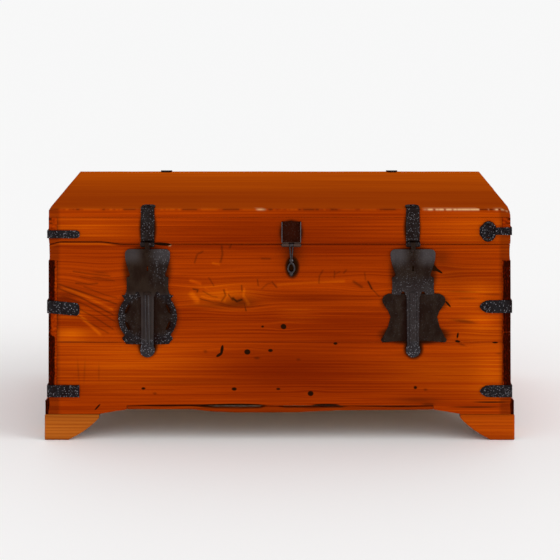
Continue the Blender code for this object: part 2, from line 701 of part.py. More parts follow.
# ---------------------------------------------------------------- corner straps
LEG = 0.0720
TIPS = {
    "square": ((0.000, 1.00), (0.004, 1.00)),
    "round": ((0.000, 0.45), (0.0025, 0.80), (0.007, 1.00)),
    "leaf": ((0.000, 0.10), (0.005, 0.55), (0.014, 0.92), (0.024, 1.00)),
    "fork": ((0.000, 0.90), (0.004, 1.45), (0.018, 1.60), (0.030, 1.45), (0.036, 0.95)),
}


def corner_strap(name, side, face, middle, half, tip, slope, parent):
    """An L of flat iron nailed round one upright corner of the chest."""
    corner = Vector((side * (HALF_W + GAP), face * (HALF_D + GAP)))
    stations = [(LEG - inset, 0, scale) for inset, scale in TIPS[tip]]
    stations.append((0.0, 0.0, 1.0))
    stations += [(0, LEG - inset, scale) for inset, scale in reversed(TIPS["round"])]
    path, widths, middles = [], [], []
    for along_front, along_side, scale in stations:
        path.append((corner.x - side * along_front, corner.y - face * along_side))
        widths.append(half * scale)
        middles.append(middle - slope * along_front)
    if side * face > 0:
        path, widths, middles = path[::-1], widths[::-1], middles[::-1]
    strap = swept_strap(name, path, widths, middles, "Z", "black_iron", parent)
    out_x = corner.x + side * IRON
    out_y = corner.y + face * IRON
    heads = []
    for reach in (0.020, 0.050):
        z = middle - slope * reach
        heads.append(((corner.x - side * reach, out_y, z), (0, face, 0)))
        heads.append(((out_x, corner.y - face * reach, middle), (side, 0, 0)))
    nail_down(strap, heads, radius=0.0042, height=0.0016)


def corner_straps(carcass, lid):
    rows = (
        # level, middle height, half height, parent, tips on the left, tips on the right
        ("lid", 0.4868, 0.0090, lid, "round", "fork"),
        ("middle", 0.3193, 0.0150, carcass, "round", "leaf"),
        ("base", 0.1188, 0.0145, carcass, "square", "leaf"),
    )
    for level, middle, half, parent, left_tip, right_tip in rows:
        for side_name, side, tip in (("left", -1, left_tip), ("right", 1, right_tip)):
            slope = 0.10 if level == "middle" and side < 0 else 0.0
            raised = 0.0070 if tip == "fork" else 0.0
            for end, face in (("front", -1), ("back", 1)):
                name = f"corner_strap_{level}_{end}_{side_name}"
                corner_strap(name, side, face, middle + raised, half, tip, slope, parent)


# ---------------------------------------------------------------- lean of the sides
def lean_in():
    """Draw everything in towards the top, so that the ends of the chest lean inwards."""
    for thing in bpy.data.objects:
        if thing.type == "MESH":
            for vertex in thing.data.vertices:
                vertex.co.x *= 1 + LEAN * (WIDTH_LEVEL - vertex.co.z)


# ---------------------------------------------------------------- the whole chest
clear_scene()
MATERIALS = make_materials()

carcass_frame = empty("carcass_frame", (0, 0, 0))
front_and_back(carcass_frame)
side_boards(carcass_frame)
floor_boards(carcass_frame)
front_edge_strip(carcass_frame)
base_boards(carcass_frame)
feet(carcass_frame)
lock_plates(carcass_frame)

lid_axis = empty("lid_axis", (0, HINGE_AXIS_Y, HINGE_AXIS_Z))
lid_boards(lid_axis)
lid_rails(lid_axis)
lid_battens(lid_axis)
for hinge_label, hinge_x in zip(("left", "right"), HINGE_X):
    lid_hinge(hinge_label, hinge_x, lid_axis, carcass_frame)

for hasp_label, hasp_x in zip(("left", "right"), HASP_X):
    lid_strap(hasp_label, hasp_x, lid_axis)
    hasp_axis = empty(f"hasp_{hasp_label}_axis", (hasp_x, HASP_AXIS_Y, HASP_AXIS_Z))
    hasp_pin = hasp(hasp_label, hasp_x, hasp_axis)
    add_object(f"hasp_{hasp_label}_pin", hasp_pin, lid_axis, "pin_steel")

centre_plate(lid_axis)
drop_axis = empty("drop_axis", (DROP_X, DROP_AXIS_Y, DROP_AXIS_Z))
drop(drop_axis)
drop_pin = tube_mesh("drop_pin", DROP_AXIS_Y, DROP_AXIS_Z, DROP_PIN,
                     DROP_X - PLATE_HALF - PIN_PROUD, DROP_X + PLATE_HALF + PIN_PROUD, sides=12)
add_object("drop_pin", drop_pin, lid_axis, "pin_steel")

corner_straps(carcass_frame, lid_axis)
lean_in()
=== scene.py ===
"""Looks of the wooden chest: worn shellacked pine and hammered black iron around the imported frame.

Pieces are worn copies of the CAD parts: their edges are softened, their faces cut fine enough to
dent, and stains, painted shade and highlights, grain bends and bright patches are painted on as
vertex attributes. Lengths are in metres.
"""

import json
import math

import bmesh
import bpy
import numpy as np
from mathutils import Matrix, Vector, noise


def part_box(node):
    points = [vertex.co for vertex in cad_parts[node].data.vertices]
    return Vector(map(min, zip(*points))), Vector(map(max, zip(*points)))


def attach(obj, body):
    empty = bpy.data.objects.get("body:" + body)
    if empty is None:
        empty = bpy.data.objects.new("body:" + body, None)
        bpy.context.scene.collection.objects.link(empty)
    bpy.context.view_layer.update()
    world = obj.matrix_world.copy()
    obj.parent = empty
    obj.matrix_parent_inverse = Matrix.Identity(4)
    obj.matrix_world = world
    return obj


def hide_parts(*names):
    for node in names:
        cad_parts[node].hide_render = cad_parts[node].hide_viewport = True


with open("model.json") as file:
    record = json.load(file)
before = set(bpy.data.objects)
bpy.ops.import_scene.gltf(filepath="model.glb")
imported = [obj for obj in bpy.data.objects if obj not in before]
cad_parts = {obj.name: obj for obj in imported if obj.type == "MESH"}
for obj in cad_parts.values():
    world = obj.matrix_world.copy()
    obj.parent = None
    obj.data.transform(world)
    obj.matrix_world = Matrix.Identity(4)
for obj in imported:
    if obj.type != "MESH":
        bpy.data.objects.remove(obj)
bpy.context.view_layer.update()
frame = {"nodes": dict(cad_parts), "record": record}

# ---------------- places taken from the frame
BOARD_LOW, BOARD_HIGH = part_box("front_board_upper")
FRONT = BOARD_LOW.y  # plane of the front boards
SEAM = BOARD_HIGH.z  # where the lid meets the carcass
JOINT = BOARD_LOW.z  # edge joint between the two front boards
LID_LOW, LID_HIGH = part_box("lid_board_front")
RAIL_TOP = LID_LOW.z  # where the lid's rails meet its top boards
LID_TOP = LID_HIGH.z


def middle_x(node_name):
    low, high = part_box(node_name)
    return (low.x + high.x) / 2


HASP_LEFT_X = middle_x("hasp_left")
HASP_RIGHT_X = middle_x("hasp_right")
DROP_X = middle_x("drop")
DROP_AXIS_Z = 0.4625  # height of the drop's pin
DROP_Y = FRONT - 0.0050  # plane in which the drop hangs

LEAN = 0.0664  # the chest narrows by this share for each metre of height
WIDTH_LEVEL = 0.203  # height at which widths are nominal
HALF_WIDTH = 0.530  # nominal half width of the boards
FRONT_SKIN = 0.004  # depth of what is painted as the front


def nominal(x, z):
    """x before the chest's lean, as on straight boards, which is where marks are placed."""
    return x / (1.0 + LEAN * (WIDTH_LEVEL - z))


# ---------------- how finely the copies are cut
FINE = 0.0020  # cell size where the wood is painted in detail
MIDDLING = 0.008  # where it is painted only with knots
COARSE = 0.02  # where it is plain
LARGE_FACE = 0.002  # area over which a face is cut into coarse cells
IRON_CELL = 0.0022

# ---------------- camera and studio
CAMERA_PLACE = (0.0009, -3.632, 1.1465)
CAMERA_DIP = 12.846  # degrees below level
LENS, SENSOR = 97.72, 36.0  # millimetres
WORLD_LIGHT = 0.86
FLOOR_WHITE = 0.93
FLOOR_REACH = 200.0
WINDOW_TOWARDS = (3.0, -0.9, 1.9)  # to the right, in front and above
WINDOW_POWER = 0.88
WINDOW_SPREAD = 36.0  # degrees; wide, so that shadows are soft


def make_camera():
    data = bpy.data.cameras.new("camera")
    data.lens = LENS
    data.sensor_width = SENSOR
    camera = bpy.data.objects.new("camera", data)
    bpy.context.scene.collection.objects.link(camera)
    camera.location = CAMERA_PLACE
    camera.rotation_euler = (math.radians(90.0 - CAMERA_DIP), 0.0, 0.0)
    bpy.context.scene.camera = camera


def make_window():
    """A distant window: light from one direction with soft-edged shadows."""
    data = bpy.data.lights.new("window", "SUN")
    data.energy = WINDOW_POWER
    data.angle = math.radians(WINDOW_SPREAD)
    lamp = bpy.data.objects.new("window", data)
    bpy.context.scene.collection.objects.link(lamp)
    lamp.rotation_euler = Vector(WINDOW_TOWARDS).to_track_quat("Z", "Y").to_euler()


def make_studio():
    world = bpy.data.worlds.new("studio")
    world.use_nodes = True
    background = world.node_tree.nodes["Background"]
    background.inputs["Color"].default_value = (1.0, 1.0, 1.0, 1.0)
    background.inputs["Strength"].default_value = WORLD_LIGHT
    bpy.context.scene.world = world
    bpy.context.scene.view_settings.view_transform = "Standard"
    mesh = bpy.data.meshes.new("floor")
    signs = ((-1, -1), (1, -1), (1, 1), (-1, 1))
    corners = [(x * FLOOR_REACH, y * FLOOR_REACH, 0.0) for x, y in signs]
    mesh.from_pydata(corners, [], [(0, 1, 2, 3)])
    floor = bpy.data.objects.new("floor", mesh)
    bpy.context.scene.collection.objects.link(floor)
    paper = bpy.data.materials.new("paper")
    paper.use_nodes = True
    shader = paper.node_tree.nodes["Principled BSDF"]
    shader.inputs["Base Color"].default_value = (FLOOR_WHITE, FLOOR_WHITE, FLOOR_WHITE, 1.0)
    shader.inputs["Roughness"].default_value = 0.9
    shader.inputs["Specular IOR Level"].default_value = 0.0
    mesh.materials.append(paper)
    make_window()


# ---------------- shader helpers
NOISE_ROUGHNESS = 0.55


def node(tree, kind, inputs=None, **settings):
    """Add a shader node; an input is either a number, a colour or another node's output."""
    made = tree.nodes.new(kind)
    for key, value in settings.items():
        setattr(made, key, value)
    for key, value in (inputs or {}).items():
        if isinstance(value, bpy.types.NodeSocket):
            tree.links.new(value, made.inputs[key])
        else:
            made.inputs[key].default_value = value
    return made


def maths(tree, operation, first, second=0.0, clamp=False):
    inputs = {0: first, 1: second}
    return node(tree, "ShaderNodeMath", inputs, operation=operation, use_clamp=clamp).outputs[0]


def multiply_add(tree, value, factor, added):
    inputs = {0: value, 1: factor, 2: added}
    return node(tree, "ShaderNodeMath", inputs, operation="MULTIPLY_ADD").outputs[0]


def remap(tree, value, low, high, to_low=0.0, to_high=1.0):
    inputs = {"Value": value, "From Min": low, "From Max": high, "To Min": to_low, "To Max": to_high}
    return node(tree, "ShaderNodeMapRange", inputs, interpolation_type="SMOOTHSTEP").outputs[0]


def cloud(tree, vector, scale, detail):
    """Noise stretched by a different scale along each axis."""
    stretched = node(tree, "ShaderNodeMapping", {"Vector": vector, "Scale": scale}).outputs[0]
    inputs = {"Vector": stretched, "Scale": 1.0, "Detail": detail, "Roughness": NOISE_ROUGHNESS}
    return node(tree, "ShaderNodeTexNoise", inputs).outputs["Fac"]


def mix(tree, factor, first, second):
    inputs = {0: factor, 6: first, 7: second}
    return node(tree, "ShaderNodeMix", inputs, data_type="RGBA").outputs[2]


def bumped(tree, shader, height, strength, distance):
    inputs = {"Strength": strength, "Distance": distance, "Height": height}
    tree.links.new(node(tree, "ShaderNodeBump", inputs).outputs[0], shader.inputs["Normal"])


def painted(tree, name):
    return node(tree, "ShaderNodeAttribute", attribute_name=name).outputs["Fac"]


def start(name):
    material = bpy.data.materials.new(name)
    material.use_nodes = True
    return material, material.node_tree, material.node_tree.nodes["Principled BSDF"]


# ---------------- wood
SHELLAC_LIGHT = (0.52, 0.058, 0.0004, 1.0)
SHELLAC_DARK = (0.185, 0.0095, 0.0002, 1.0)
AMBER = (0.70, 0.125, 0.0008, 1.0)
CHERRY = (0.15, 0.0060, 0.0002, 1.0)
# Near black for dark marks and grime, and for painted shade.
GRIME_AND_SHADE = (0.0100, 0.0022, 0.0012, 1.0)
END_GRAIN = (0.018, 0.0014, 0.0004, 1.0)
WORN_AND_HIGHLIGHT = (0.85, 0.50, 0.24, 1.0)
SHELLAC_GLINT = (1.0, 0.35, 0.03, 1.0)
RINGS_PER_METRE = 118.0
RING_WANDER = 5.0  # how many rings the grain lines stray by
# Noise waves for each metre along the grain, across it and through the board.
WANDER_WAVES = (0.9, 6.0, 7.0)
PATCH_WAVES = (1.2, 5.0, 7.0)
BAND_WAVES = (0.8, 14.0, 16.0)
STREAK_WAVES = (2.4, 190.0, 270.0)
FIBRE_WAVES = (9.0, 500.0, 620.0)
END_WAVES = (420.0, 420.0, 160.0)
# Shares that these have in the colour.
LEAST_LIGHT, BAND_SHARE, STREAK_SHARE, FIBRE_SHARE = 0.10, 0.45, 0.50, 0.22
WOOD_RELIEF = 0.0004


def wood(name, light, dark, along="X", gloss=0.30, sheen=0.12, lines=0.38, contrast=1.0,
         offset=0.0):
    """Shellacked pine with its grain along one axis, darkened where it is cut across.

    `lines` is the strength of the growth rings, `contrast` that of the streaks between them, and
    `offset` shifts the pattern along the grain so that boards differ.
    """
    material, tree, shader = start(name)
    place = node(tree, "ShaderNodeTexCoord")
    turn = (0.0, 0.0, math.radians(90.0) if along == "Y" else 0.0)
    inputs = {"Vector": place.outputs["Object"], "Rotation": turn, "Location": (offset, 0, 0)}
    grain = node(tree, "ShaderNodeMapping", inputs).outputs[0]
    bend = node(tree, "ShaderNodeCombineXYZ", {"Z": painted(tree, "grain_shift")}).outputs[0]
    grain = node(tree, "ShaderNodeVectorMath", {0: grain, 1: bend}, operation="ADD").outputs[0]

    wander = cloud(tree, grain, WANDER_WAVES, detail=1.0)
    height = node(tree, "ShaderNodeSeparateXYZ", {"Vector": grain}).outputs["Z"]
    strayed = maths(tree, "MULTIPLY", wander, RING_WANDER)
    ring = maths(tree, "FRACT", multiply_add(tree, height, RINGS_PER_METRE, strayed))
    late = remap(tree, ring, 0.45, 0.95)
    early = remap(tree, ring, 0.97, 1.0, 1.0, 0.0)
    late = maths(tree, "MULTIPLY", late, early)
    patchy = remap(tree, cloud(tree, grain, PATCH_WAVES, detail=2.0), 0.35, 0.68)
    late = maths(tree, "MULTIPLY", late, patchy)

    bands = remap(tree, cloud(tree, grain, BAND_WAVES, detail=4.0), 0.30, 0.70)
    streaks = remap(tree, cloud(tree, grain, STREAK_WAVES, detail=4.0), 0.34, 0.66)
    fibres = remap(tree, cloud(tree, grain, FIBRE_WAVES, detail=2.0), 0.34, 0.70)
    evened = LEAST_LIGHT + STREAK_SHARE / 2 * (1.0 - contrast)
    body = multiply_add(tree, bands, BAND_SHARE, evened)
    body = maths(tree, "ADD", body, maths(tree, "MULTIPLY", streaks, STREAK_SHARE * contrast))
    colour = mix(tree, body, dark, light)
    colour = mix(tree, maths(tree, "MULTIPLY", late, lines), colour, CHERRY)
    colour = mix(tree, maths(tree, "MULTIPLY", fibres, FIBRE_SHARE * contrast), colour, dark)

    # Brighter shellac, with painted highlights and the painted sheen of the top.
    colour = mix(tree, painted(tree, "amber_and_highlight"), colour, mix(tree, streaks, light, AMBER))
    # Redder shellac, and painted shade on the front of the top.
    colour = mix(tree, painted(tree, "cherry_and_shade"), colour, CHERRY)
    square = node(tree, "ShaderNodeSeparateXYZ", {"Vector": place.outputs["Normal"]})
    endwise = maths(tree, "ABSOLUTE", square.outputs["Y" if along == "Y" else "X"])
    rough_end = cloud(tree, grain, END_WAVES, detail=3.0)
    end = mix(tree, remap(tree, rough_end, 0.45, 0.9), END_GRAIN, CHERRY)
    cut_across = maths(tree, "SUBTRACT", remap(tree, endwise, 0.75, 0.97),
                       painted(tree, "faced"), clamp=True)
    colour = mix(tree, cut_across, colour, end)
    # Bare wood where worn, and painted highlight on the lid's arris.
    colour = mix(tree, painted(tree, "wear_and_highlight"), colour, WORN_AND_HIGHLIGHT)
    # Painted shade round the iron and behind the drop, with scratches, streaks and other soft dark
    # marks.
    colour = mix(tree, painted(tree, "shade"), colour, GRIME_AND_SHADE)
    # Crisp dark marks: knots, nails, gouges and cracks, and painted shade in gaps and behind the
    # hasp's hole.
    colour = mix(tree, remap(tree, painted(tree, "stain_and_shade"), 0.30, 0.62), colour, GRIME_AND_SHADE)
    tree.links.new(colour, shader.inputs["Base Color"])

    relief = maths(tree, "ADD", maths(tree, "MULTIPLY", streaks, 0.5), fibres)
    bumped(tree, shader, relief, 0.25, WOOD_RELIEF)
    shader.inputs["Roughness"].default_value = gloss
    shader.inputs["Specular IOR Level"].default_value = sheen
    shader.inputs["Specular Tint"].default_value = SHELLAC_GLINT
    return material


# ---------------- iron
IRON_GLINT = (0.35, 0.32, 0.32, 1.0)
HAMMER_MARKS = 260.0  # for each metre, as are the waves
MOTTLE_WAVES, FLECK_WAVES, GRIT_WAVES = (60.0, 60.0, 34.0), (170.0,) * 3, (300.0,) * 3
IRON_RELIEF = 0.0008


def iron(name, smooth, rough, fleck_glint, roughness):
    """Forged iron: brown and even where it is smooth, blue-black where hammered, with bright flecks
    painted as glints on the hammer marks.
    """
    material, tree, shader = start(name)
    place = node(tree, "ShaderNodeTexCoord").outputs["Object"]
    mottle = remap(tree, cloud(tree, place, MOTTLE_WAVES, detail=4.0), 0.34, 0.70)
    hammered = painted(tree, "hammered")
    base = mix(tree, hammered, smooth, rough)
    skin = mix(tree, maths(tree, "MULTIPLY", mottle, 0.55), base, GRIME_AND_SHADE)
    inputs = {"Vector": place, "Scale": HAMMER_MARKS, "Randomness": 1.0}
    cells = node(tree, "ShaderNodeTexVoronoi", inputs).outputs["Distance"]
    where = remap(tree, cloud(tree, place, FLECK_WAVES, detail=2.0), 0.38, 0.56)
    share = maths(tree, "MULTIPLY", remap(tree, cells, 0.40, 0.16), where)
    # painted glints: bright flecks on the hammer marks
    skin = mix(tree, maths(tree, "MULTIPLY", share, hammered), skin, fleck_glint)
    # Painted highlights on shoulders, rims and ribs, and bright spots rubbed by the knuckles.
    skin = mix(tree, painted(tree, "wear_and_highlight"), skin, fleck_glint)
    # Painted shade beside the hasps' tongues and at the crescent.
    skin = mix(tree, painted(tree, "shade"), skin, GRIME_AND_SHADE)
    tree.links.new(skin, shader.inputs["Base Color"])
    grit = cloud(tree, place, GRIT_WAVES, detail=3.0)
    bumps = maths(tree, "MULTIPLY", cells, hammered)
    relief = maths(tree, "ADD", bumps, maths(tree, "MULTIPLY", grit, 0.4))
    bumped(tree, shader, relief, 0.6, IRON_RELIEF)
    shader.inputs["Roughness"].default_value = roughness
    shader.inputs["Metallic"].default_value = 1.0
    shader.inputs["Specular Tint"].default_value = IRON_GLINT
    return material


# ---------------- cutting and wearing a part
AXIS_VECTORS = {"X": Vector((1, 0, 0)), "Y": Vector((0, 1, 0)), "Z": Vector((0, 0, 1))}
FACING = 0.2  # least share of a face's normal that looks one way
SAME_PLANE = math.radians(1.0)
SHARP_EDGE = math.radians(35.0)  # edges sharper than this are rounded off
CREASE = math.radians(50.0)  # edges sharper than this are shaded as creases
MERGE = 1e-5


def slice_faces(work, faces, axis, low, high, cell):
    """Cut faces across an axis, halving the range until each strip is about one cell wide."""
    count = round((high - low) / cell)
    if count < 2 or not faces:
        return
    across = AXIS_VECTORS[axis]
    middle = low + (count // 2) * (high - low) / count
    edges = {edge for face in faces for edge in face.edges}
    verts = {vert for face in faces for vert in face.verts}
    cut = bmesh.ops.bisect_plane(work, geom=faces + list(edges) + list(verts), dist=1e-6,
                                 plane_co=across * middle, plane_no=across)
    below, above = [], []
    for thing in cut["geom"]:
        if isinstance(thing, bmesh.types.BMFace):
            side = above if thing.calc_center_median().dot(across) > middle else below
            side.append(thing)
    slice_faces(work, below, axis, low, middle, cell)
    slice_faces(work, above, axis, middle, high, cell)


def slice_whole(work, faces, axis, cell):
    levels = [vert.co.dot(AXIS_VECTORS[axis]) for face in faces for vert in face.verts]
    if levels:
        slice_faces(work, faces, axis, min(levels), max(levels), cell)


def slice_towards(work, direction, cells):
    """Cut the faces that look one way into cells along each axis named."""
    for axis, cell in cells.items():
        faces = [face for face in work.faces if face.normal.dot(direction) > FACING]
        slice_whole(work, faces, axis, cell)


def slice_large(work):
    """Cut the large faces that are left into coarse cells, so that they shade evenly."""
    for axis in AXIS_VECTORS:
        large = [face for face in work.faces if face.calc_area() > LARGE_FACE]
        slice_whole(work, large, axis, COARSE)


TIGHT_JOINTS = (JOINT, RAIL_TOP)
TONGUE_SIDE = 0.5105  # where the side boards' tongues meet the front boards
JOINT_REACH = 0.0012


def in_tight_joint(edge):
    """True for edges that close up against the next board, which stay sharp."""
    def beside_tongue(vert):
        from_tongue = nominal(abs(vert.co.x), vert.co.z) - TONGUE_SIDE
        return vert.co.y < FRONT + JOINT_REACH and abs(from_tongue) < JOINT_REACH

    level_joint = any(all(abs(vert.co.z - level) < JOINT_REACH for vert in edge.verts)
                      for level in TIGHT_JOINTS)
    return level_joint or all(beside_tongue(vert) for vert in edge.verts)


def clean_copy(node_name, bevel):
    """The part's mesh with its triangles merged and its sharp edges rounded."""
    work = bmesh.new()
    work.from_mesh(frame["nodes"][node_name].data)
    bmesh.ops.remove_doubles(work, verts=work.verts, dist=MERGE)
    bmesh.ops.dissolve_limit(work, angle_limit=SAME_PLANE, verts=work.verts, edges=work.edges)
    sharp = [edge for edge in work.edges
             if len(edge.link_faces) == 2 and edge.calc_face_angle(0.0) > SHARP_EDGE
             and not in_tight_joint(edge)]
    bmesh.ops.bevel(work, geom=sharp, offset=bevel, segments=2, profile=0.5, affect="EDGES",
                    clamp_overlap=True)
    return work


def set_attribute(mesh, name, values):
    layer = mesh.attributes.new(name, "FLOAT", "POINT")
    layer.data.foreach_set("value", np.asarray(values, np.float32))


def coordinates(mesh):
    co = np.empty(len(mesh.vertices) * 3, np.float32)
    mesh.vertices.foreach_get("co", co)
    return co.reshape(-1, 3).astype(float)


def place_piece(name, work, body, material, replaced):
    mesh = bpy.data.meshes.new(name)
    work.to_mesh(mesh)
    work.free()
    mesh.materials.append(material)
    mesh.shade_smooth()
    mesh.set_sharp_from_angle(angle=CREASE)
    piece = bpy.data.objects.new(name, mesh)
    bpy.context.scene.collection.objects.link(piece)
    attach(piece, body)
    if replaced:
        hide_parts(*replaced)
    return piece


BODY_OF = {name: body for body, names in frame["record"]["behaviour"]["bodies"].items()
           for name in names}


def worn_part(node_name, material, bevel, cells, dent, shape=None, paint=None):
    """Replace a CAD part by a worn copy.

    `cells` pairs directions with cell sizes, `dent` is how deep noise presses the surface in,
    `shape` moves the points and `paint` returns vertex attributes by name.
    """
    work = clean_copy(node_name, bevel)
    for direction, sizes in cells:
        slice_towards(work, Vector(direction), sizes)
    slice_large(work)
    work.normal_update()
    depth, wave = dent
    for vert in work.verts:
        dip = 0.5 + 0.5 * noise.noise(vert.co * wave)
        vert.co -= vert.normal * depth * dip
    piece = place_piece(f"{node_name}_worn", work, BODY_OF[node_name], material,
                        [node_name])
    co = coordinates(piece.data)
    if shape:
        co = shape(co)
        piece.data.vertices.foreach_set("co", co.astype(np.float32).ravel())
        piece.data.update()
    if paint:
        for name, values in paint(co).items():
            set_attribute(piece.data, name, values)
    return piece


# ---------------- marks on the front
CRISP = 0.60  # dark marks this strong have hard edges

# Each mark: x and z of its middle, half length, half thickness, tilt in degrees, strength.
DARK_MARKS = (
    # short streaks, scratches and the edge joint at the left end
    (-0.41, 0.398, 0.016, 0.002, -5, 0.35),
    (-0.417, 0.387, 0.012, 0.002, -5, 0.4),
    (-0.397, 0.382, 0.014, 0.002, -5, 0.35),
    (-0.443, 0.2352, 0.076, 0.002, -1, 0.4),
    # painted shade in the gap over the loose strip
    (-0.1, 0.085, 0.06, 0.0034, 0, 0.9),
    (0.106, 0.085, 0.032, 0.003, 0, 0.9),
    (-0.2, 0.0845, 0.15, 0.002, 0, 0.75),
    # scratches near the lower left corner
    (-0.461, 0.165, 0.0018, 0.026, 4, 0.25),
    (-0.447, 0.163, 0.0018, 0.026, -3, 0.25),
    (-0.414, 0.161, 0.0018, 0.02, 0, 0.25),
    (-0.417, 0.08, 0.011, 0.0021, 49, 0.85),
    # painted shade in the gap under the lid beside the left strap
    (-0.2695, 0.464, 0.021, 0.0036, -4, 1.0),
    # painted shade behind the hole in the right hasp
    (0.3055, 0.409, 0.007, 0.01, 0, 1.0),
    # gouges and streaks right of the right hasp
    (0.353, 0.409, 0.0085, 0.0062, -40, 1.0),
    (0.364, 0.4025, 0.011, 0.0028, -32, 1.0),
    (0.386, 0.325, 0.0103, 0.0026, -50, 0.8),
    (0.415, 0.354, 0.037, 0.002, -2, 0.35),
    (0.428, 0.338, 0.023, 0.002, 0, 0.35),
    (0.495, 0.347, 0.032, 0.002, -2, 0.35),
    (0.424, 0.284, 0.025, 0.0038, -8, 0.5),
    (0.408, 0.251, 0.0027, 0.0083, -10, 0.75),
    (0.408, 0.237, 0.007, 0.0031, -10, 0.75),
    (0.417, 0.2297, 0.0092, 0.0024, -20, 0.4),
    (0.494, 0.2344, 0.008, 0.0024, 0, 0.75),
    (0.506, 0.208, 0.0092, 0.0024, 0, 0.45),
    # knots and old nail holes in the lower half
    (-0.132, 0.218, 0.0034, 0.0107, -8, 0.95),
    (-0.139, 0.2047, 0.0078, 0.0034, 35, 0.9),
    (-0.074, 0.212, 0.0068, 0.0062, 0, 1.0),
    (-0.021, 0.2154, 0.006, 0.004, 0, 0.8),
    (-0.17, 0.213, 0.004, 0.0036, 0, 0.4),
    (-0.052, 0.1976, 0.006, 0.0026, 0, 0.55),
    (-0.039, 0.272, 0.0042, 0.0034, 0, 0.65),
    (0.009, 0.272, 0.0066, 0.0062, -30, 0.95),
    (0.128, 0.232, 0.0052, 0.0034, 0, 0.8),
    (0.043, 0.194, 0.0042, 0.0026, 0, 0.4),
    # the nails that hold the floor boards
    (-0.312, 0.1247, 0.006, 0.004, 0, 0.65),
    (-0.286, 0.1127, 0.0042, 0.0026, 0, 0.5),
    (-0.104, 0.1235, 0.007, 0.0048, 0, 0.7),
    (-0.003, 0.1235, 0.006, 0.0034, 0, 0.65),
    (0.071, 0.1127, 0.0064, 0.006, 0, 1.0),
    (0.311, 0.127, 0.005, 0.005, 0, 0.65),
    (0.334, 0.122, 0.0042, 0.0026, 0, 0.5),
    # cracks near the lower edge at the right
    (0.34, 0.087, 0.015, 0.004, 0, 0.55),
    (0.483, 0.092, 0.05, 0.0022, 0, 0.65),
    (0.451, 0.08, 0.085, 0.0022, 0, 0.6),
)
# Painted shade and grime in the wood round the iron plates, and painted shadow behind the drop; the
# same form, and flat inside.
PLATE_HALOS = (
    (-0.3035, 0.294, 0.069, 0.068, 0, 1.0),
    (-0.3035, 0.405, 0.053, 0.056, 0, 1.0),
    (-0.302, 0.225, 0.022, 0.025, 0, 1.0),
    (-0.302, 0.5, 0.0195, 0.045, 0, 1.0),
    (0.309, 0.3285, 0.074, 0.026, 0, 1.0),
    (0.309, 0.253, 0.077, 0.024, 0, 1.0),
    (0.307, 0.4, 0.052, 0.06, 0, 1.0),
    (0.307, 0.22, 0.022, 0.025, 0, 1.0),
    (0.304, 0.5, 0.019, 0.045, 0, 1.0),
    (0.0268, 0.49, 0.0265, 0.029, 0, 1.0),
    (0.029, 0.412, 0.0165, 0.027, 0, 1.0),
)
# Within the hasps' outline the painted shade and grime are weaker than at their edges.
UNDER_HASPS = (
    (-0.3035, 0.405, 0.038, 0.042, 0, 0.6),
    (0.307, 0.4, 0.037, 0.046, 0, 0.6),
)
# Wide soft darkening: tone in the wood, and painted shadow beside the right hasp and behind the drop.
SHADES = (
    # painted shadow beside the right hasp
    (0.371, 0.433, 0.018, 0.017, 0, 0.4),
    (-0.239, 0.139, 0.137, 0.005, 0, 0.22),
    (0.318, 0.096, 0.041, 0.0071, 0, 0.4),
    # painted shadow behind the drop
    (0.029, 0.44, 0.02, 0.022, 0, 0.6),
    (-0.094, 0.329, 0.03, 0.01, 0, 0.55),
    (-0.13, 0.322, 0.06, 0.005, 0, 0.4),
    (-0.495, 0.34, 0.028, 0.015, 0, 0.3),
    (0.117, 0.333, 0.183, 0.019, 0, 0.1),
    (0.396, 0.396, 0.03, 0.021, 0, 0.15),
)
# Thin bright streaks.
LIGHT_MARKS = (
    (-0.479, 0.239, 0.039, 0.002, -1, 0.45),
    (-0.488, 0.156, 0.03, 0.0021, 0, 0.3),
    (0.039, 0.312, 0.041, 0.002, 0, 0.25),
    (0.039, 0.303, 0.041, 0.002, 0, 0.22),
    (0.048, 0.293, 0.05, 0.002, 0, 0.2),
    (0.048, 0.284, 0.05, 0.002, 0, 0.18),
    (-0.113, 0.31, 0.069, 0.002, 0, 0.16),
    (-0.131, 0.291, 0.08, 0.002, 0, 0.14),
)
# Bare wood where the lid's lower edge is chipped.
WORN_MARKS = (
    (-0.2525, 0.462, 0.003, 0.0022, 0, 1.0),
)
# Wide patches of brighter and of redder shellac.
AMBER_MARKS = (
    (-0.479, 0.253, 0.03, 0.012, 0, 0.9),
    (-0.479, 0.305, 0.028, 0.01, 0, 0.6),
    (-0.388, 0.187, 0.115, 0.047, 0, 0.45),
    (-0.273, 0.192, 0.092, 0.031, 0, 0.35),
    (-0.44, 0.5, 0.09, 0.018, 0, 0.6),
    (-0.13, 0.35, 0.06, 0.02, 0, 0.75),
    (0.456, 0.35, 0.028, 0.017, 0, 0.9),
    (0.463, 0.284, 0.03, 0.017, 0, 1.0),
    (0.483, 0.168, 0.034, 0.047, 0, 0.9),
    (0.392, 0.163, 0.126, 0.036, 0, 0.45),
    (0.46, 0.3, 0.065, 0.11, 0, 0.35),
    (0.37, 0.35, 0.05, 0.045, 0, 0.25),
    (0.455, 0.5, 0.09, 0.03, 0, 0.45),
)
CHERRY_MARKS = (
    (-0.491, 0.34, 0.028, 0.014, 0, 0.5),
    (0.071, 0.34, 0.092, 0.012, 0, 0.5),
    (0.117, 0.472, 0.149, 0.071, 0, 0.46),
    (0.42, 0.403, 0.1, 0.047, 0, 0.28),
    (0.02, 0.17, 0.17, 0.055, 0, 0.7),
    (0.39, 0.165, 0.14, 0.05, 0, 0.2),
    (-0.09, 0.495, 0.12, 0.035, 0, 0.45),
    (0.117, 0.263, 0.126, 0.036, 0, 0.26),
)

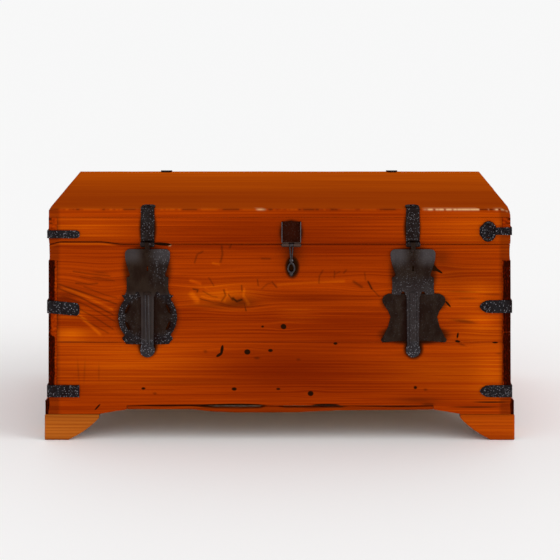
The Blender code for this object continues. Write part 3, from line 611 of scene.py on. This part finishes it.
# Bent scratches: half thickness, strength, and the points each one runs through.
SCRATCHES = (
    (0.0018, 0.75, ((-0.198, 0.36), (-0.187, 0.358), (-0.189, 0.353))),
    (0.0016, 0.6, ((-0.182, 0.337), (-0.157, 0.33), (-0.127, 0.326))),
    (0.0042, 0.95, ((-0.107, 0.338), (-0.098, 0.331), (-0.087, 0.335))),
    (0.0018, 0.75, ((-0.082, 0.33), (-0.077, 0.309))),
    (0.0016, 0.6, ((-0.087, 0.368), (-0.086, 0.355))),
    (0.0018, 0.65, ((-0.128, 0.358), (-0.124, 0.345), (-0.133, 0.332))),
    (0.0018, 0.65, ((-0.117, 0.347), (-0.107, 0.332))),
    (0.0016, 0.45, ((-0.162, 0.386), (-0.151, 0.368))),
    (0.0016, 0.45, ((-0.176, 0.355), (-0.157, 0.344), (-0.143, 0.341))),
    (0.0018, 0.5, ((-0.195, 0.421), (-0.189, 0.44), (-0.176, 0.447))),
    (0.0024, 0.5, ((-0.133, 0.461), (-0.131, 0.44), (-0.135, 0.423))),
    (0.0018, 0.6, ((-0.111, 0.463), (-0.114, 0.456))),
    (0.0022, 0.45, ((-0.041, 0.431), (-0.022, 0.43))),
    (0.0016, 0.5, ((-0.051, 0.382), (-0.049, 0.368))),
    (0.0016, 0.4, ((-0.041, 0.36), (-0.027, 0.373), (-0.02, 0.374))),
    (0.0018, 0.55, ((-0.017, 0.376), (-0.007, 0.364))),
    (0.0016, 0.5, ((0.099, 0.403), (0.091, 0.39), (0.09, 0.374))),
    (0.0016, 0.4, ((0.126, 0.402), (0.125, 0.386))),
    (0.0016, 0.4, ((0.138, 0.4), (0.126, 0.394))),
    (0.0018, 0.5, ((0.153, 0.404), (0.147, 0.397))),
    (0.0016, 0.4, ((0.195, 0.398), (0.197, 0.381))),
    (0.0034, 0.5, ((0.17, 0.377), (0.188, 0.365))),
    (0.0022, 0.9, ((0.203, 0.377), (0.211, 0.361))),
    (0.0014, 0.55, ((0.211, 0.361), (0.228, 0.343))),
)
# Grain lines that run downhill to the right at the left end.
DOWNHILL_GRAIN = (
    (0.0016, 0.45, ((-0.473, 0.401), (-0.434, 0.395), (-0.389, 0.39))),
    (0.0016, 0.35, ((-0.457, 0.389), (-0.412, 0.382), (-0.379, 0.379))),
    (0.002, 0.5, ((-0.467, 0.374), (-0.439, 0.371), (-0.418, 0.373))),
    (0.002, 0.6, ((-0.509, 0.372), (-0.448, 0.351), (-0.374, 0.325))),
    (0.002, 0.6, ((-0.509, 0.362), (-0.458, 0.341), (-0.382, 0.3))),
    (0.0018, 0.5, ((-0.499, 0.344), (-0.439, 0.32), (-0.375, 0.283))),
    (0.0018, 0.45, ((-0.467, 0.318), (-0.421, 0.292), (-0.382, 0.266))),
    (0.0016, 0.4, ((-0.489, 0.313), (-0.439, 0.283), (-0.393, 0.257))),
    (0.0016, 0.4, ((-0.448, 0.365), (-0.402, 0.347), (-0.373, 0.339))),
)
# Raised curls of torn grain that catch the light.
LIGHT_CURLS = (
    (0.0035, 0.98, ((-0.122, 0.36), (-0.118, 0.347), (-0.126, 0.332))),
    (0.0046, 1.0, ((-0.081, 0.36), (-0.083, 0.344), (-0.072, 0.326))),
    (0.0041, 0.92, ((-0.203, 0.379), (-0.182, 0.372))),
    (0.0081, 1.0, ((-0.201, 0.348), (-0.189, 0.334))),
    (0.0032, 0.92, ((-0.178, 0.343), (-0.155, 0.336), (-0.134, 0.335))),
    (0.003, 0.8, ((-0.171, 0.362), (-0.153, 0.352), (-0.139, 0.353))),
    (0.0027, 0.69, ((-0.153, 0.42), (-0.139, 0.417))),
    (0.003, 0.52, ((-0.004, 0.37), (0.055, 0.374), (0.147, 0.378))),
    (0.0041, 0.69, ((-0.503, 0.327), (-0.457, 0.297), (-0.412, 0.254))),
    (0.003, 0.57, ((-0.499, 0.365), (-0.448, 0.344), (-0.384, 0.313))),
)


def nominal_x(co):
    return nominal(co[:, 0], co[:, 2])


def strokes(x, z, marks, power=1.6):
    """How strongly each point lies within any of the marks, from 0 to 1."""
    free = np.ones(len(x))
    for mark_x, mark_z, length, thickness, tilt, strength in marks:
        turn = math.radians(tilt)
        along = ((x - mark_x) * math.cos(turn) + (z - mark_z) * math.sin(turn)) / length
        across = ((z - mark_z) * math.cos(turn) - (x - mark_x) * math.sin(turn)) / thickness
        free *= 1.0 - strength * np.exp(-((along ** 2 + across ** 2) ** power) * 0.7)
    return 1.0 - free


def bent_lines(x, z, lines):
    """How strongly each point lies on any of the bent lines, from 0 to 1."""
    free = np.ones(len(x))
    for thickness, strength, points in lines:
        nearest = np.full(len(x), np.inf)
        for (from_x, from_z), (to_x, to_z) in zip(points, points[1:]):
            run_x, run_z = to_x - from_x, to_z - from_z
            share = ((x - from_x) * run_x + (z - from_z) * run_z) / (run_x ** 2 + run_z ** 2)
            share = np.clip(share, 0.0, 1.0)
            away = np.hypot(x - from_x - share * run_x, z - from_z - share * run_z)
            nearest = np.minimum(nearest, away)
        free *= 1.0 - strength * np.exp(-(nearest / thickness) ** 2)
    return 1.0 - free


# Grain bends: middle x and z, half length, half height, how far the lines are pushed apart.
KNOTS = (
    (-0.091, 0.335, 0.06, 0.028, 0.016),
    (-0.17, 0.35, 0.07, 0.03, -0.012),
    (0.195, 0.372, 0.05, 0.022, 0.01),
    (0.362, 0.404, 0.045, 0.022, 0.01),
    (-0.074, 0.212, 0.035, 0.015, 0.007),
    (-0.135, 0.213, 0.035, 0.016, 0.007),
    (0.071, 0.113, 0.03, 0.012, 0.006),
    (0.41, 0.243, 0.05, 0.02, 0.008),
    (0.009, 0.272, 0.03, 0.012, 0.006),
)


def grain_bends(x, z):
    """Grain lines open round knots and run downhill at the left end."""
    shift = np.zeros(len(x))
    for knot_x, knot_z, length, height, push in KNOTS:
        along, across = (x - knot_x) / length, (z - knot_z) / height
        shift -= push * np.tanh(2.0 * across) * np.exp(-(along ** 2) - across ** 2)
    left = np.exp(-((x + 0.455) / 0.075) ** 2 - ((z - 0.355) / 0.055) ** 2)
    shift += 0.30 * (x + 0.455) * left
    return shift


def smooth_step(value, low, high):
    t = np.clip((value - low) / (high - low), 0.0, 1.0)
    return t * t * (3.0 - 2.0 * t)


def ripple(along, frequency):
    """Noise from -1 to 1 along one direction."""
    return np.array([noise.noise(Vector((at * frequency, 3.0, 0.0))) for at in along])


SEAM_RISE = 0.0055  # at the left end
SEAM_REACH = 0.016  # height beside the seam that follows it
SEAM_DEPTH = 0.03
SEAM_LINE = 0.0022  # half thickness of the dark line along the seam
JOINT_LINE = 0.0016
END_WEAR = 0.0045  # most that knocks have pushed the boards' ends in
ARRIS_LINE = 0.0018


def on_front(co):
    """1 for the points on the chest's front, 0 for the others."""
    return (co[:, 1] < FRONT + FRONT_SKIN).astype(float)


def seam_rise(x):
    """How far the seam is above its straight line: it rises a little at the left end."""
    return SEAM_RISE * (1.0 - smooth_step(x, -0.415, -0.355)) * smooth_step(x, -0.53, -0.50)


def end_wear(co, x):
    """How far knocks have pushed the ends of the boards in, along their height."""
    wave = [noise.noise(Vector((3.0 * math.copysign(1.0, at), 0.4, 30.0 * z)))
            for at, z in zip(x, co[:, 2])]
    near_end = smooth_step(np.abs(x), 0.500, 0.529)
    return END_WEAR * np.clip(np.array(wave), 0.0, 1.0) * near_end


def wear_shape(co):
    """Boards follow the wavy seam and lose a little at their ends."""
    x = nominal_x(co)
    close = np.exp(-((co[:, 2] - SEAM) / SEAM_REACH) ** 2)
    co = co.copy()
    co[:, 0] -= np.sign(x) * end_wear(co, x)
    co[:, 2] += seam_rise(x) * close * (co[:, 1] < FRONT + SEAM_DEPTH)
    return co


def seam_dark_line(x, z):
    """The dark line on both sides of the seam, heavier at the left."""
    away = (z - SEAM - seam_rise(x)) / SEAM_LINE
    return np.exp(-away ** 2) * (0.35 + 0.35 * smooth_step(-x, 0.30, 0.36))


def paint_front(co):
    """All the marks on the front, with the lines at the seam and at the joint of the boards."""
    x, z = nominal_x(co), co[:, 2]
    front = on_front(co)
    crisp = [mark for mark in DARK_MARKS if mark[-1] >= CRISP]
    faint = [mark for mark in DARK_MARKS if mark[-1] < CRISP]
    # painted shade and grime round the plates, weaker under the hasps
    within_hasps = strokes(x, z, UNDER_HASPS, power=3.0)
    halos = strokes(x, z, PLATE_HALOS, power=5.0) * (1.0 - within_hasps)
    joint = np.exp(-((z - JOINT) / JOINT_LINE) ** 2) * smooth_step(-x, 0.34, 0.40) * 0.45
    ends = smooth_step(np.abs(x), 0.500, 0.5095) * 0.35
    soft = strokes(x, z, SHADES, power=1.0)
    bent = bent_lines(x, z, SCRATCHES + DOWNHILL_GRAIN)
    shade = np.maximum.reduce([soft, strokes(x, z, faint), halos, joint, ends, bent,
                               seam_dark_line(x, z)])
    # a painted highlight along the body's top edge just under the seam, at the left end
    under_seam = np.exp(-((z - SEAM - seam_rise(x) + 0.0045) / ARRIS_LINE) ** 2)
    edge_highlight = under_seam * (1.0 - smooth_step(x, -0.40, -0.36)) * 0.8
    amber_and_highlight = np.maximum.reduce([strokes(x, z, LIGHT_MARKS) * 1.6, bent_lines(x, z, LIGHT_CURLS),
                               strokes(x, z, AMBER_MARKS, power=1.0), edge_highlight])
    return {
        "stain_and_shade": front * strokes(x, z, crisp),
        "shade": front * shade,
        "wear_and_highlight": front * strokes(x, z, WORN_MARKS),
        "amber_and_highlight": front * np.minimum(amber_and_highlight, 1.0),
        "cherry_and_shade": front * strokes(x, z, CHERRY_MARKS, power=1.0),
        "grain_shift": grain_bends(x, z),
    }


def corner_drop(x):
    """How far knocks have lowered the lid's front corners, more at the right."""
    return smooth_step(np.abs(x), 0.508, 0.531) * np.where(x > 0.0, 0.0060, 0.0025)


def paint_lid_edge(co):
    """The lid's front arris: a thin painted highlight with dark dashes, and at the right end creamy
    and chipped, worn bare with a painted highlight.
    """
    x, z = nominal_x(co), co[:, 2]
    painted_front = paint_front(co)
    top_of_front = LID_TOP - 0.0022 - corner_drop(x)
    arris = np.exp(-((z - top_of_front) / ARRIS_LINE) ** 2) * (co[:, 1] < FRONT + 0.005)
    chips = 0.5 + 0.5 * ripple(x, 22.0) + 0.25 * ripple(x, 120.0)
    right = smooth_step(x, 0.325, 0.345)
    flake = np.exp(-((x + 0.043) / 0.010) ** 4)
    # cream at the right end and at one flake: bare wood, with a painted highlight
    pale = arris * np.maximum(right * smooth_step(chips, 0.38, 0.56), 0.7 * flake)
    dark = arris * (1.0 - pale) * (0.10 + 0.50 * smooth_step(chips, 0.50, 0.36))
    # a thin painted highlight along the arris, left of the cream end
    line = arris * (1.0 - right) * smooth_step(chips, 0.50, 0.62)
    painted_front["wear_and_highlight"] = pale * 0.9
    painted_front["shade"] = np.maximum(painted_front["shade"], dark)
    above = paint_top(co)
    for name in ("amber_and_highlight", "cherry_and_shade"):
        painted_front[name] = np.where(on_front(co), painted_front[name], above[name])
    painted_front["amber_and_highlight"] = np.maximum(painted_front["amber_and_highlight"], 0.6 * line)
    return painted_front


def corner_wear(co):
    """The lid's front corners are rounded off by knocks."""
    x = nominal_x(co)
    co = wear_shape(co)
    near = smooth_step(-co[:, 1], 0.235, 0.275)
    high = smooth_step(co[:, 2], RAIL_TOP, LID_TOP)
    co[:, 2] -= near * high * corner_drop(x)
    return co


def paint_top(co):
    """Painted sheen: the top is more amber towards the back, as from a grazing reflection,
    and duller in front.
    """
    back = smooth_step(co[:, 1], -0.20, 0.27)
    return {"amber_and_highlight": 0.40 * back, "cherry_and_shade": 0.22 * (1.0 - back)}


def paint_tongues(co):
    """The side boards' end grain shows on the front between ragged edges, narrower at the left."""
    x, z = nominal_x(co), co[:, 2]
    inward = HALF_WIDTH - np.abs(x)
    ragged = 0.0020 * ripple(z, 40.0) + 0.0012 * ripple(z, 140.0)
    narrow = smooth_step(z, 0.245, 0.255) * smooth_step(-z, -0.312, -0.304)
    limit = np.where(x < 0.0, 0.0150 - 0.0085 * narrow, 0.0185) + ragged
    front = on_front(co)
    return {
        "faced": front * smooth_step(inward, limit - 0.0008, limit + 0.0008),
        "shade": 0.5 * front * smooth_step(-inward, -0.0030, 0.0),
    }


def paint_lid_side(co):
    """The lid's side rails hardly show as end grain: only dark cracks run in from the corner."""
    x, z = nominal_x(co), co[:, 2]
    inward = HALF_WIDTH - np.abs(x)
    crack = smooth_step(0.5 + 0.5 * ripple(z, 120.0), 0.52, 0.66)
    reach = 0.010 + 0.008 * ripple(z, 60.0)
    front = on_front(co)
    shade = front * crack * smooth_step(reach - inward, -0.002, 0.004)
    return {"faced": front, "shade": 0.9 * shade}


def aged(node_name, knots=4):
    """Paint for a board away from the front: a few knots, and darker towards its edges."""
    low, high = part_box(node_name)
    size = high - low
    wide, tall = sorted(range(3), key=lambda axis: -size[axis])[:2]
    dice = np.random.default_rng(sum(map(ord, node_name)))
    spots = dice.uniform(0.08, 0.92, (knots, 2))
    radii = dice.uniform(0.003, 0.008, knots)

    def paint(co):
        u, v = co[:, wide], co[:, tall]
        knot, bend = np.zeros(len(co)), np.zeros(len(co))
        for (share_u, share_v), radius in zip(spots, radii):
            along = (u - low[wide] - share_u * size[wide]) / radius
            across = (v - low[tall] - share_v * size[tall]) / radius
            knot = np.maximum(knot, np.exp(-(along ** 2 + across ** 2) ** 1.5))
            bend -= 1.5 * radius * np.tanh(across / 2) * np.exp(-(along / 7) ** 2 - (across / 3) ** 2)
        edge = np.minimum(v - low[tall], high[tall] - v)
        return {"shade": 0.35 * np.exp(-edge / 0.006), "stain_and_shade": knot, "grain_shift": bend}

    return paint


# ---------------- iron parts
def paint_hammered(amount):
    """Iron hammered all over by the same amount."""
    return lambda co: {"hammered": np.full(len(co), amount)}


def hasp_tip(z):
    return smooth_step(-z, -0.250, -0.232)


def paint_left_hasp(co):
    """Smooth on its left, lightly pitted on its right and hammered at its tip."""
    x, z = co[:, 0] - HASP_LEFT_X, co[:, 2]
    pitted = smooth_step(x, -0.004, 0.020) * smooth_step(z, 0.350, 0.400)
    # painted highlight on the shoulders, where the domed plate catches the light
    shine = 0.16 * smooth_step(z, 0.412, 0.440) * smooth_step(np.abs(x + 0.002), 0.004, 0.030)
    tongue = 0.10 * smooth_step(-z, -0.360, -0.335)
    return {"hammered": np.maximum(0.45 * pitted, hasp_tip(z)), "wear_and_highlight": np.maximum(shine, tongue)}


def paint_right_hasp(co):
    """Smooth on the shoulders, finely stippled on the skirt and the tongue, hammered at its tip."""
    x, z = co[:, 0] - HASP_RIGHT_X, co[:, 2]
    stipple = 0.42 * smooth_step(-z, -0.405, -0.375)
    # painted highlight on the shoulders, where the domed plate catches the light
    shine = 0.20 * smooth_step(z, 0.405, 0.438) * smooth_step(np.abs(x), 0.002, 0.030)
    tongue = 0.08 * smooth_step(-z, -0.400, -0.345)
    return {"hammered": np.maximum.reduce([stipple, hasp_tip(z), np.full(len(z), 0.12)]),
            "wear_and_highlight": np.maximum(shine, tongue)}


LEFT_PLATE_Z = 0.294  # middle of the round left lock plate


def paint_lock_plate(co):
    """Hammered round the edge of the left plate, smooth within and on the right plate, with painted
    shade beside the hasps' tongues and at the left plate's cut crescent.
    """
    left = co[:, 0] < 0.0
    right_of, above = np.abs(co[:, 0] - HASP_LEFT_X), np.abs(co[:, 2] - LEFT_PLATE_Z)
    reach = np.hypot(right_of, above)
    edge = smooth_step(reach, 0.046, 0.060) * left
    low = smooth_step(-co[:, 2], -0.262, -0.246) * left
    hasp_x = np.where(left, HASP_LEFT_X, HASP_RIGHT_X)
    # painted shade on the plate beside the hasp's tongue
    beside = np.exp(-(np.abs(co[:, 0] - hasp_x) / 0.021) ** 4)
    turn = np.degrees(np.arctan2(above, right_of))
    # painted shade at the cut crescent
    crescent = np.exp(-((reach - 0.0510) / 0.0042) ** 2 - ((turn - 23.0) / 14.0) ** 4) * left
    return {"hammered": 0.75 * np.maximum(edge, low) + 0.08,
            "shade": np.maximum(0.85 * beside, crescent)}


def paint_centre_plate(co):
    """Bright where the knuckles rub."""
    return {"hammered": np.full(len(co), 0.15), "wear_and_highlight": 0.45 * (co[:, 2] < 0.4685)}


BEAD_RINGS = 6
SKIN_DEPTH = 0.00025  # how uneven forged bars are
SKIN_WAVE = 240.0


def tube(points, radii, sides=10, closed=False):
    """Vertices and faces of a round bar along a line of points."""
    points = [Vector(point) for point in points]
    count = len(points)
    verts, faces = [], []
    side = None
    for i, point in enumerate(points):
        ahead = points[(i + 1) % count] if closed or i + 1 < count else point
        behind = points[i - 1] if closed or i else point
        along = (ahead - behind).normalized()
        if side is None:
            side = along.orthogonal().normalized()
        side = (side - along * side.dot(along)).normalized()
        other = along.cross(side)
        for k in range(sides):
            turn = 2.0 * math.pi * k / sides
            verts.append(point + (side * math.cos(turn) + other * math.sin(turn)) * radii[i])
    for i in range(count if closed else count - 1):
        for k in range(sides):
            a, b = i * sides + k, i * sides + (k + 1) % sides
            c, d = ((i + 1) % count) * sides + k, ((i + 1) % count) * sides + (k + 1) % sides
            faces.append((a, b, d, c))
    if not closed:
        faces.append(tuple(reversed(range(sides))))
        faces.append(tuple((count - 1) * sides + k for k in range(sides)))
    return verts, faces


def bead(centre, radius, squash):
    """A small ball, flattened front to back."""
    heights = [math.cos(math.pi * (i + 0.5) / BEAD_RINGS) for i in range(BEAD_RINGS)]
    points = [Vector(centre) + Vector((0, 0, height * radius)) for height in heights]
    radii = [radius * math.sqrt(1.0 - height * height) for height in heights]
    verts, faces = tube(points, radii)
    for vert in verts:
        vert.y = centre[1] + (vert.y - centre[1]) * squash
    return verts, faces


def join_shapes(shapes):
    work = bmesh.new()
    for verts, faces in shapes:
        made = [work.verts.new(vert) for vert in verts]
        for face in faces:
            work.faces.new([made[i] for i in face])
    bmesh.ops.recalc_face_normals(work, faces=work.faces)
    return work


def forged_piece(name, shapes, body, hammered, replaced=(), wear_and_highlight=0.0):
    """Wrought details made of bars and beads, with a slightly uneven skin."""
    work = join_shapes(shapes)
    work.normal_update()
    for vert in work.verts:
        vert.co += vert.normal * SKIN_DEPTH * noise.noise(vert.co * SKIN_WAVE)
    piece = place_piece(name, work, body, BLACK_IRON, replaced)
    count = len(piece.data.vertices)
    set_attribute(piece.data, "hammered", np.full(count, hammered))
    set_attribute(piece.data, "wear_and_highlight", np.full(count, wear_and_highlight))
    return piece


STRAND_LENGTH = 0.0300
EYE_DROP = 0.0522  # how far the eye is below the drop's pin
EYE_HALF_WIDTH, EYE_HALF_HEIGHT = 0.0072, 0.0108


def make_drop():
    """Two strands run down into a ring, then a teardrop eye with a nub."""
    top = DROP_AXIS_Z - 0.002
    shapes = []
    for side in (-1, 1):
        strand = []
        for share in np.linspace(0.0, 1.0, 11):
            apart = side * (0.0034 - 0.0022 * share)
            strand.append((DROP_X + apart, DROP_Y, top - STRAND_LENGTH * share))
        shapes.append(tube(strand, [0.0017] * len(strand)))
    collar = [(DROP_X, DROP_Y, top - 0.029 - 0.0026 * i) for i in range(5)]
    shapes.append(tube(collar, (0.0030, 0.0052, 0.0056, 0.0048, 0.0030)))
    eye_z = DROP_AXIS_Z - EYE_DROP
    loop = []
    for i in range(24):
        turn = 2.0 * math.pi * i / 24
        x = DROP_X + EYE_HALF_WIDTH * (1.0 - 0.22 * math.sin(turn)) * math.cos(turn)
        loop.append((x, DROP_Y, eye_z + EYE_HALF_HEIGHT * math.sin(turn)))
    shapes.append(tube(loop, [0.0023] * len(loop), closed=True))
    nub = [(DROP_X, DROP_Y, eye_z - 0.0105 - 0.0022 * i) for i in range(5)]
    shapes.append(tube(nub, (0.0040, 0.0054, 0.0052, 0.0046, 0.0028)))
    barrel = [(DROP_X + 0.0050 * s, FRONT - 0.0054, DROP_AXIS_Z) for s in (-0.97, -0.8, 0.8, 0.97)]
    shapes.append(tube(barrel, (0.0034, 0.0042, 0.0042, 0.0034), sides=14))
    forged_piece("drop_forged", shapes, "drop", 0.35, ["drop"], wear_and_highlight=0.16)


def make_scroll():
    """The C scroll and the rope beads on the lid's right front strap."""
    centre_x, centre_z, face = 0.4690, 0.4935, FRONT - 0.0030
    steps = 24
    scroll, radii = [], []
    for i in range(steps + 1):
        turn = math.radians(35.0 + 290.0 * i / steps)
        reach = 0.0155 - 0.0015 * math.cos(2.0 * turn)
        height = 1.15 * reach * math.sin(turn)
        scroll.append((centre_x + reach * math.cos(turn), face, centre_z + height))
        radii.append(0.0030 + 0.0014 * abs(math.cos(math.pi * i / steps)))
    shapes = [tube(scroll, radii)]
    shapes += [bead(end, 0.0048, 0.8) for end in (scroll[0], scroll[-1])]
    shapes += [bead((0.4850 + 0.0060 * i, face - 0.0006, centre_z), 0.0044, 0.7) for i in range(6)]
    forged_piece("lid_scroll", shapes, "lid", 1.0)


def make_plate_rims():
    """Bright rims down both sides of the centre plate: rubbed, and painted as edge highlights."""
    low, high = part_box("drop_plate")
    shapes = []
    for x in (low.x + 0.0011, high.x - 0.0011):
        line = [(x, low.y + 0.0042, z) for z in np.linspace(0.4690, high.z - 0.002, 12)]
        shapes.append(tube(line, [0.0009] * len(line), sides=8))
    forged_piece("drop_plate_rims", shapes, "lid", 0.2, wear_and_highlight=0.55)


def make_tongue_ribs():
    """Two raised ribs that run down the left hasp's rounded tongue, painted lighter as highlights."""
    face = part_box("hasp_left")[0].y + 0.0062
    shapes = []
    for offset in (-0.0062, 0.0008):
        crest = face - 0.0044 * math.sqrt(1.0 - (offset / 0.0088) ** 2)
        line = [(HASP_LEFT_X + offset, crest, z) for z in np.linspace(0.2300, 0.3480, 30)]
        shapes.append(tube(line, [0.0010] * len(line), sides=8))
    forged_piece("hasp_left_ribs", shapes, "hasp_left", 0.4, wear_and_highlight=0.26)


# ---------------- materials
TOP_LIGHT, TOP_DARK = (0.374, 0.058, 0.0020, 1.0), (0.221, 0.023, 0.0012, 1.0)
FOOT_LIGHT, FOOT_DARK = (0.56, 0.15, 0.016, 1.0), (0.34, 0.065, 0.004, 1.0)
RED_FOOT_LIGHT, RED_FOOT_DARK = (0.56, 0.085, 0.002, 1.0), (0.34, 0.034, 0.001, 1.0)
BARE_LIGHT, BARE_DARK = (0.55, 0.36, 0.17, 1.0), (0.36, 0.20, 0.08, 1.0)

FRONT_PINE = wood("front_pine", SHELLAC_LIGHT, SHELLAC_DARK)
TOP_PINE = wood("top_pine", TOP_LIGHT, TOP_DARK, lines=0.0, sheen=0.0, contrast=0.35)
SIDE_PINE = wood("side_pine", SHELLAC_LIGHT, SHELLAC_DARK, along="Y", sheen=0.04)
FOOT_PINE = wood("foot_pine", FOOT_LIGHT, FOOT_DARK, offset=0.7)
RED_FOOT_PINE = wood("red_foot_pine", RED_FOOT_LIGHT, RED_FOOT_DARK, offset=1.3)
BARE_PINE = wood("bare_pine", BARE_LIGHT, BARE_DARK, gloss=0.6, sheen=0.3)
FOOT_SIDE_PINE = wood("foot_side_pine", FOOT_LIGHT, FOOT_DARK, along="Y")
BACK_PINE = wood("back_pine", SHELLAC_LIGHT, SHELLAC_DARK, offset=2.1)
BARE_SIDE_PINE = wood("bare_side_pine", BARE_LIGHT, BARE_DARK, along="Y", gloss=0.6, sheen=0.3)
BLACK_IRON = iron("black_iron", (0.030, 0.0185, 0.0130, 1), (0.019, 0.0175, 0.0195, 1),
                  (0.22, 0.21, 0.23, 1), 0.42)
RUSTY_IRON = iron("rusty_iron", (0.030, 0.0050, 0.0020, 1), (0.040, 0.012, 0.006, 1),
                  (0.16, 0.11, 0.09, 1), 0.5)
PIN_STEEL = iron("pin_steel", (0.05, 0.045, 0.04, 1), (0.09, 0.08, 0.07, 1),
                 (0.3, 0.3, 0.3, 1), 0.35)
LOOKS = {
    "pine_front": FRONT_PINE, "pine_top": TOP_PINE, "pine_foot": FOOT_PINE,
    "pine_inside": BARE_PINE, "black_iron": BLACK_IRON, "rusty_iron": RUSTY_IRON,
    "pin_steel": PIN_STEEL,
}

# ---------------- wearing the whole chest
# How far sharp edges are rounded.
ARRIS_ROUND = 0.0004  # the lid's front edge, and strap iron
PLATE_ROUND = 0.0005
THIN_ROUND = 0.0006  # thin boards and corner straps
BOARD_ROUND = 0.0009
FOOT_ROUND = 0.0010
PLANK_ROUND = 0.0012

# How deep noise presses a surface in, and how many waves it has for each metre.
WOOD_DENT = (0.0005, 14.0)
IRON_DENT = (0.0004, 230.0)
SMOOTH_DENT = (0.0002, 90.0)

SIDES = (("left", -1), ("right", 1))
TOWARDS_FRONT, TOWARDS_BACK, UP = (0, -1, 0), (0, 1, 0), (0, 0, 1)


def facing(direction, axes, cell):
    """Cells of one size on the faces that look one way."""
    return (direction, dict.fromkeys(axes, cell))


FRONT_CELLS = facing(TOWARDS_FRONT, "XZ", FINE)
TOP_CELLS = facing(UP, "XY", COARSE)
PLATE_CELLS = (facing(TOWARDS_FRONT, "XZ", IRON_CELL),)


def worn_board(part, pine, rounding, cells, shape=None, paint=None):
    return worn_part(part, pine, rounding, cells, WOOD_DENT, shape, paint)


def wear_front():
    cells = (FRONT_CELLS, facing(UP, "X", COARSE))
    for part in ("front_board_upper", "front_board_lower", "lid_rail_front"):
        worn_board(part, FRONT_PINE, BOARD_ROUND, cells, wear_shape, paint_front)


def wear_lid_top():
    """The front one of the top boards is finished like the front on its edge."""
    lid_front = worn_board("lid_board_front", TOP_PINE, ARRIS_ROUND, (FRONT_CELLS, TOP_CELLS),
                           corner_wear, paint_lid_edge)
    lid_front.data.materials.append(FRONT_PINE)
    for polygon in lid_front.data.polygons:
        if polygon.normal.y < -0.5:
            polygon.material_index = 1
    worn_board("lid_board_back", TOP_PINE, THIN_ROUND,
               (TOP_CELLS, facing(TOWARDS_BACK, "X", COARSE)), paint=paint_top)


def wear_sides_and_feet():
    for side, way in SIDES:
        outer = facing((way, 0, 0), "YZ", MIDDLING)
        end_cells = (FRONT_CELLS, outer)
        for level in ("lower", "upper"):
            worn_board(f"side_board_{side}_{level}", SIDE_PINE, BOARD_ROUND, end_cells,
                       paint=paint_tongues)
        worn_board(f"lid_rail_{side}", SIDE_PINE, BOARD_ROUND, end_cells, paint=paint_lid_side)
        part = f"base_board_{side}"
        base_cells = (outer, facing(TOWARDS_FRONT, "Z", MIDDLING))
        worn_board(part, SIDE_PINE, PLANK_ROUND, base_cells, paint=aged(part))
        pine = FOOT_PINE if side == "left" else RED_FOOT_PINE
        for end, direction in (("front", TOWARDS_FRONT), ("back", TOWARDS_BACK)):
            part = f"foot_{end}_{side}"
            worn_board(part, pine, FOOT_ROUND, (facing(direction, "XZ", MIDDLING),),
                       paint=aged(part, knots=0))
            part = f"foot_{end}_{side}_side"
            worn_board(part, FOOT_SIDE_PINE, FOOT_ROUND, (outer,), paint=aged(part, knots=0))


def wear_back_and_inside():
    back_cells = (facing(TOWARDS_BACK, "XZ", MIDDLING),)
    for part in ("back_board_upper", "back_board_lower", "lid_rail_back"):
        worn_board(part, BACK_PINE, PLANK_ROUND, back_cells, paint=aged(part))
    part = "front_edge_strip"
    strip_cells = (facing(TOWARDS_FRONT, "X", COARSE),)
    worn_board(part, FRONT_PINE, THIN_ROUND, strip_cells, paint=aged(part))
    flat_cells = tuple(facing((0, 0, way), "XY", COARSE) for way in (-1, 1))
    for part in ("floor_board_front", "floor_board_back", "lid_batten_left", "lid_batten_right"):
        pine = BARE_PINE if part.startswith("floor") else BARE_SIDE_PINE
        worn_board(part, pine, PLANK_ROUND, flat_cells, paint=aged(part))


def wear_plates():
    for part, paint in (("hasp_left", paint_left_hasp), ("hasp_right", paint_right_hasp),
                        ("lock_plate_left", paint_lock_plate),
                        ("lock_plate_right", paint_lock_plate)):
        worn_part(part, BLACK_IRON, PLATE_ROUND, PLATE_CELLS, SMOOTH_DENT, paint=paint)
    for part in ("hasp_left_strap", "hasp_right_strap"):
        worn_part(part, BLACK_IRON, ARRIS_ROUND, PLATE_CELLS, SMOOTH_DENT,
                  paint=paint_hammered(0.6))
    worn_part("drop_plate", RUSTY_IRON, ARRIS_ROUND, PLATE_CELLS, SMOOTH_DENT,
              paint=paint_centre_plate)


def wear_corner_straps(end, direction):
    for level in ("lid", "middle", "base"):
        for side, way in SIDES:
            cells = [facing(direction, "XZ", IRON_CELL), facing((way, 0, 0), "YZ", IRON_CELL)]
            worn_part(f"corner_strap_{level}_{end}_{side}", BLACK_IRON, THIN_ROUND, cells,
                      IRON_DENT, paint=paint_hammered(1.0))


def wear_hinge_leaves():
    cells = (facing(TOWARDS_BACK, "XZ", IRON_CELL),)
    for side in ("left", "right"):
        for leaf in ("lid_leaf", "body_leaf"):
            worn_part(f"hinge_{side}_{leaf}", BLACK_IRON, ARRIS_ROUND, cells, SMOOTH_DENT,
                      paint=paint_hammered(0.6))


def finish_cad_parts():
    """Give the CAD parts that stay in view, and those under the copies, the same materials."""
    for row in frame["record"]["subparts"]:
        finish = LOOKS[row["material_slot"]]
        if row["node"].startswith(("side_board", "lid_rail_left", "lid_rail_right")):
            finish = SIDE_PINE
        for slot in frame["nodes"][row["node"]].material_slots:
            slot.material = finish


make_camera()
make_studio()
wear_front()
wear_lid_top()
wear_sides_and_feet()
wear_back_and_inside()
wear_plates()
wear_corner_straps("front", TOWARDS_FRONT)
wear_hinge_leaves()
wear_corner_straps("back", TOWARDS_BACK)
make_drop()
make_scroll()
make_plate_rims()
make_tongue_ribs()
finish_cad_parts()
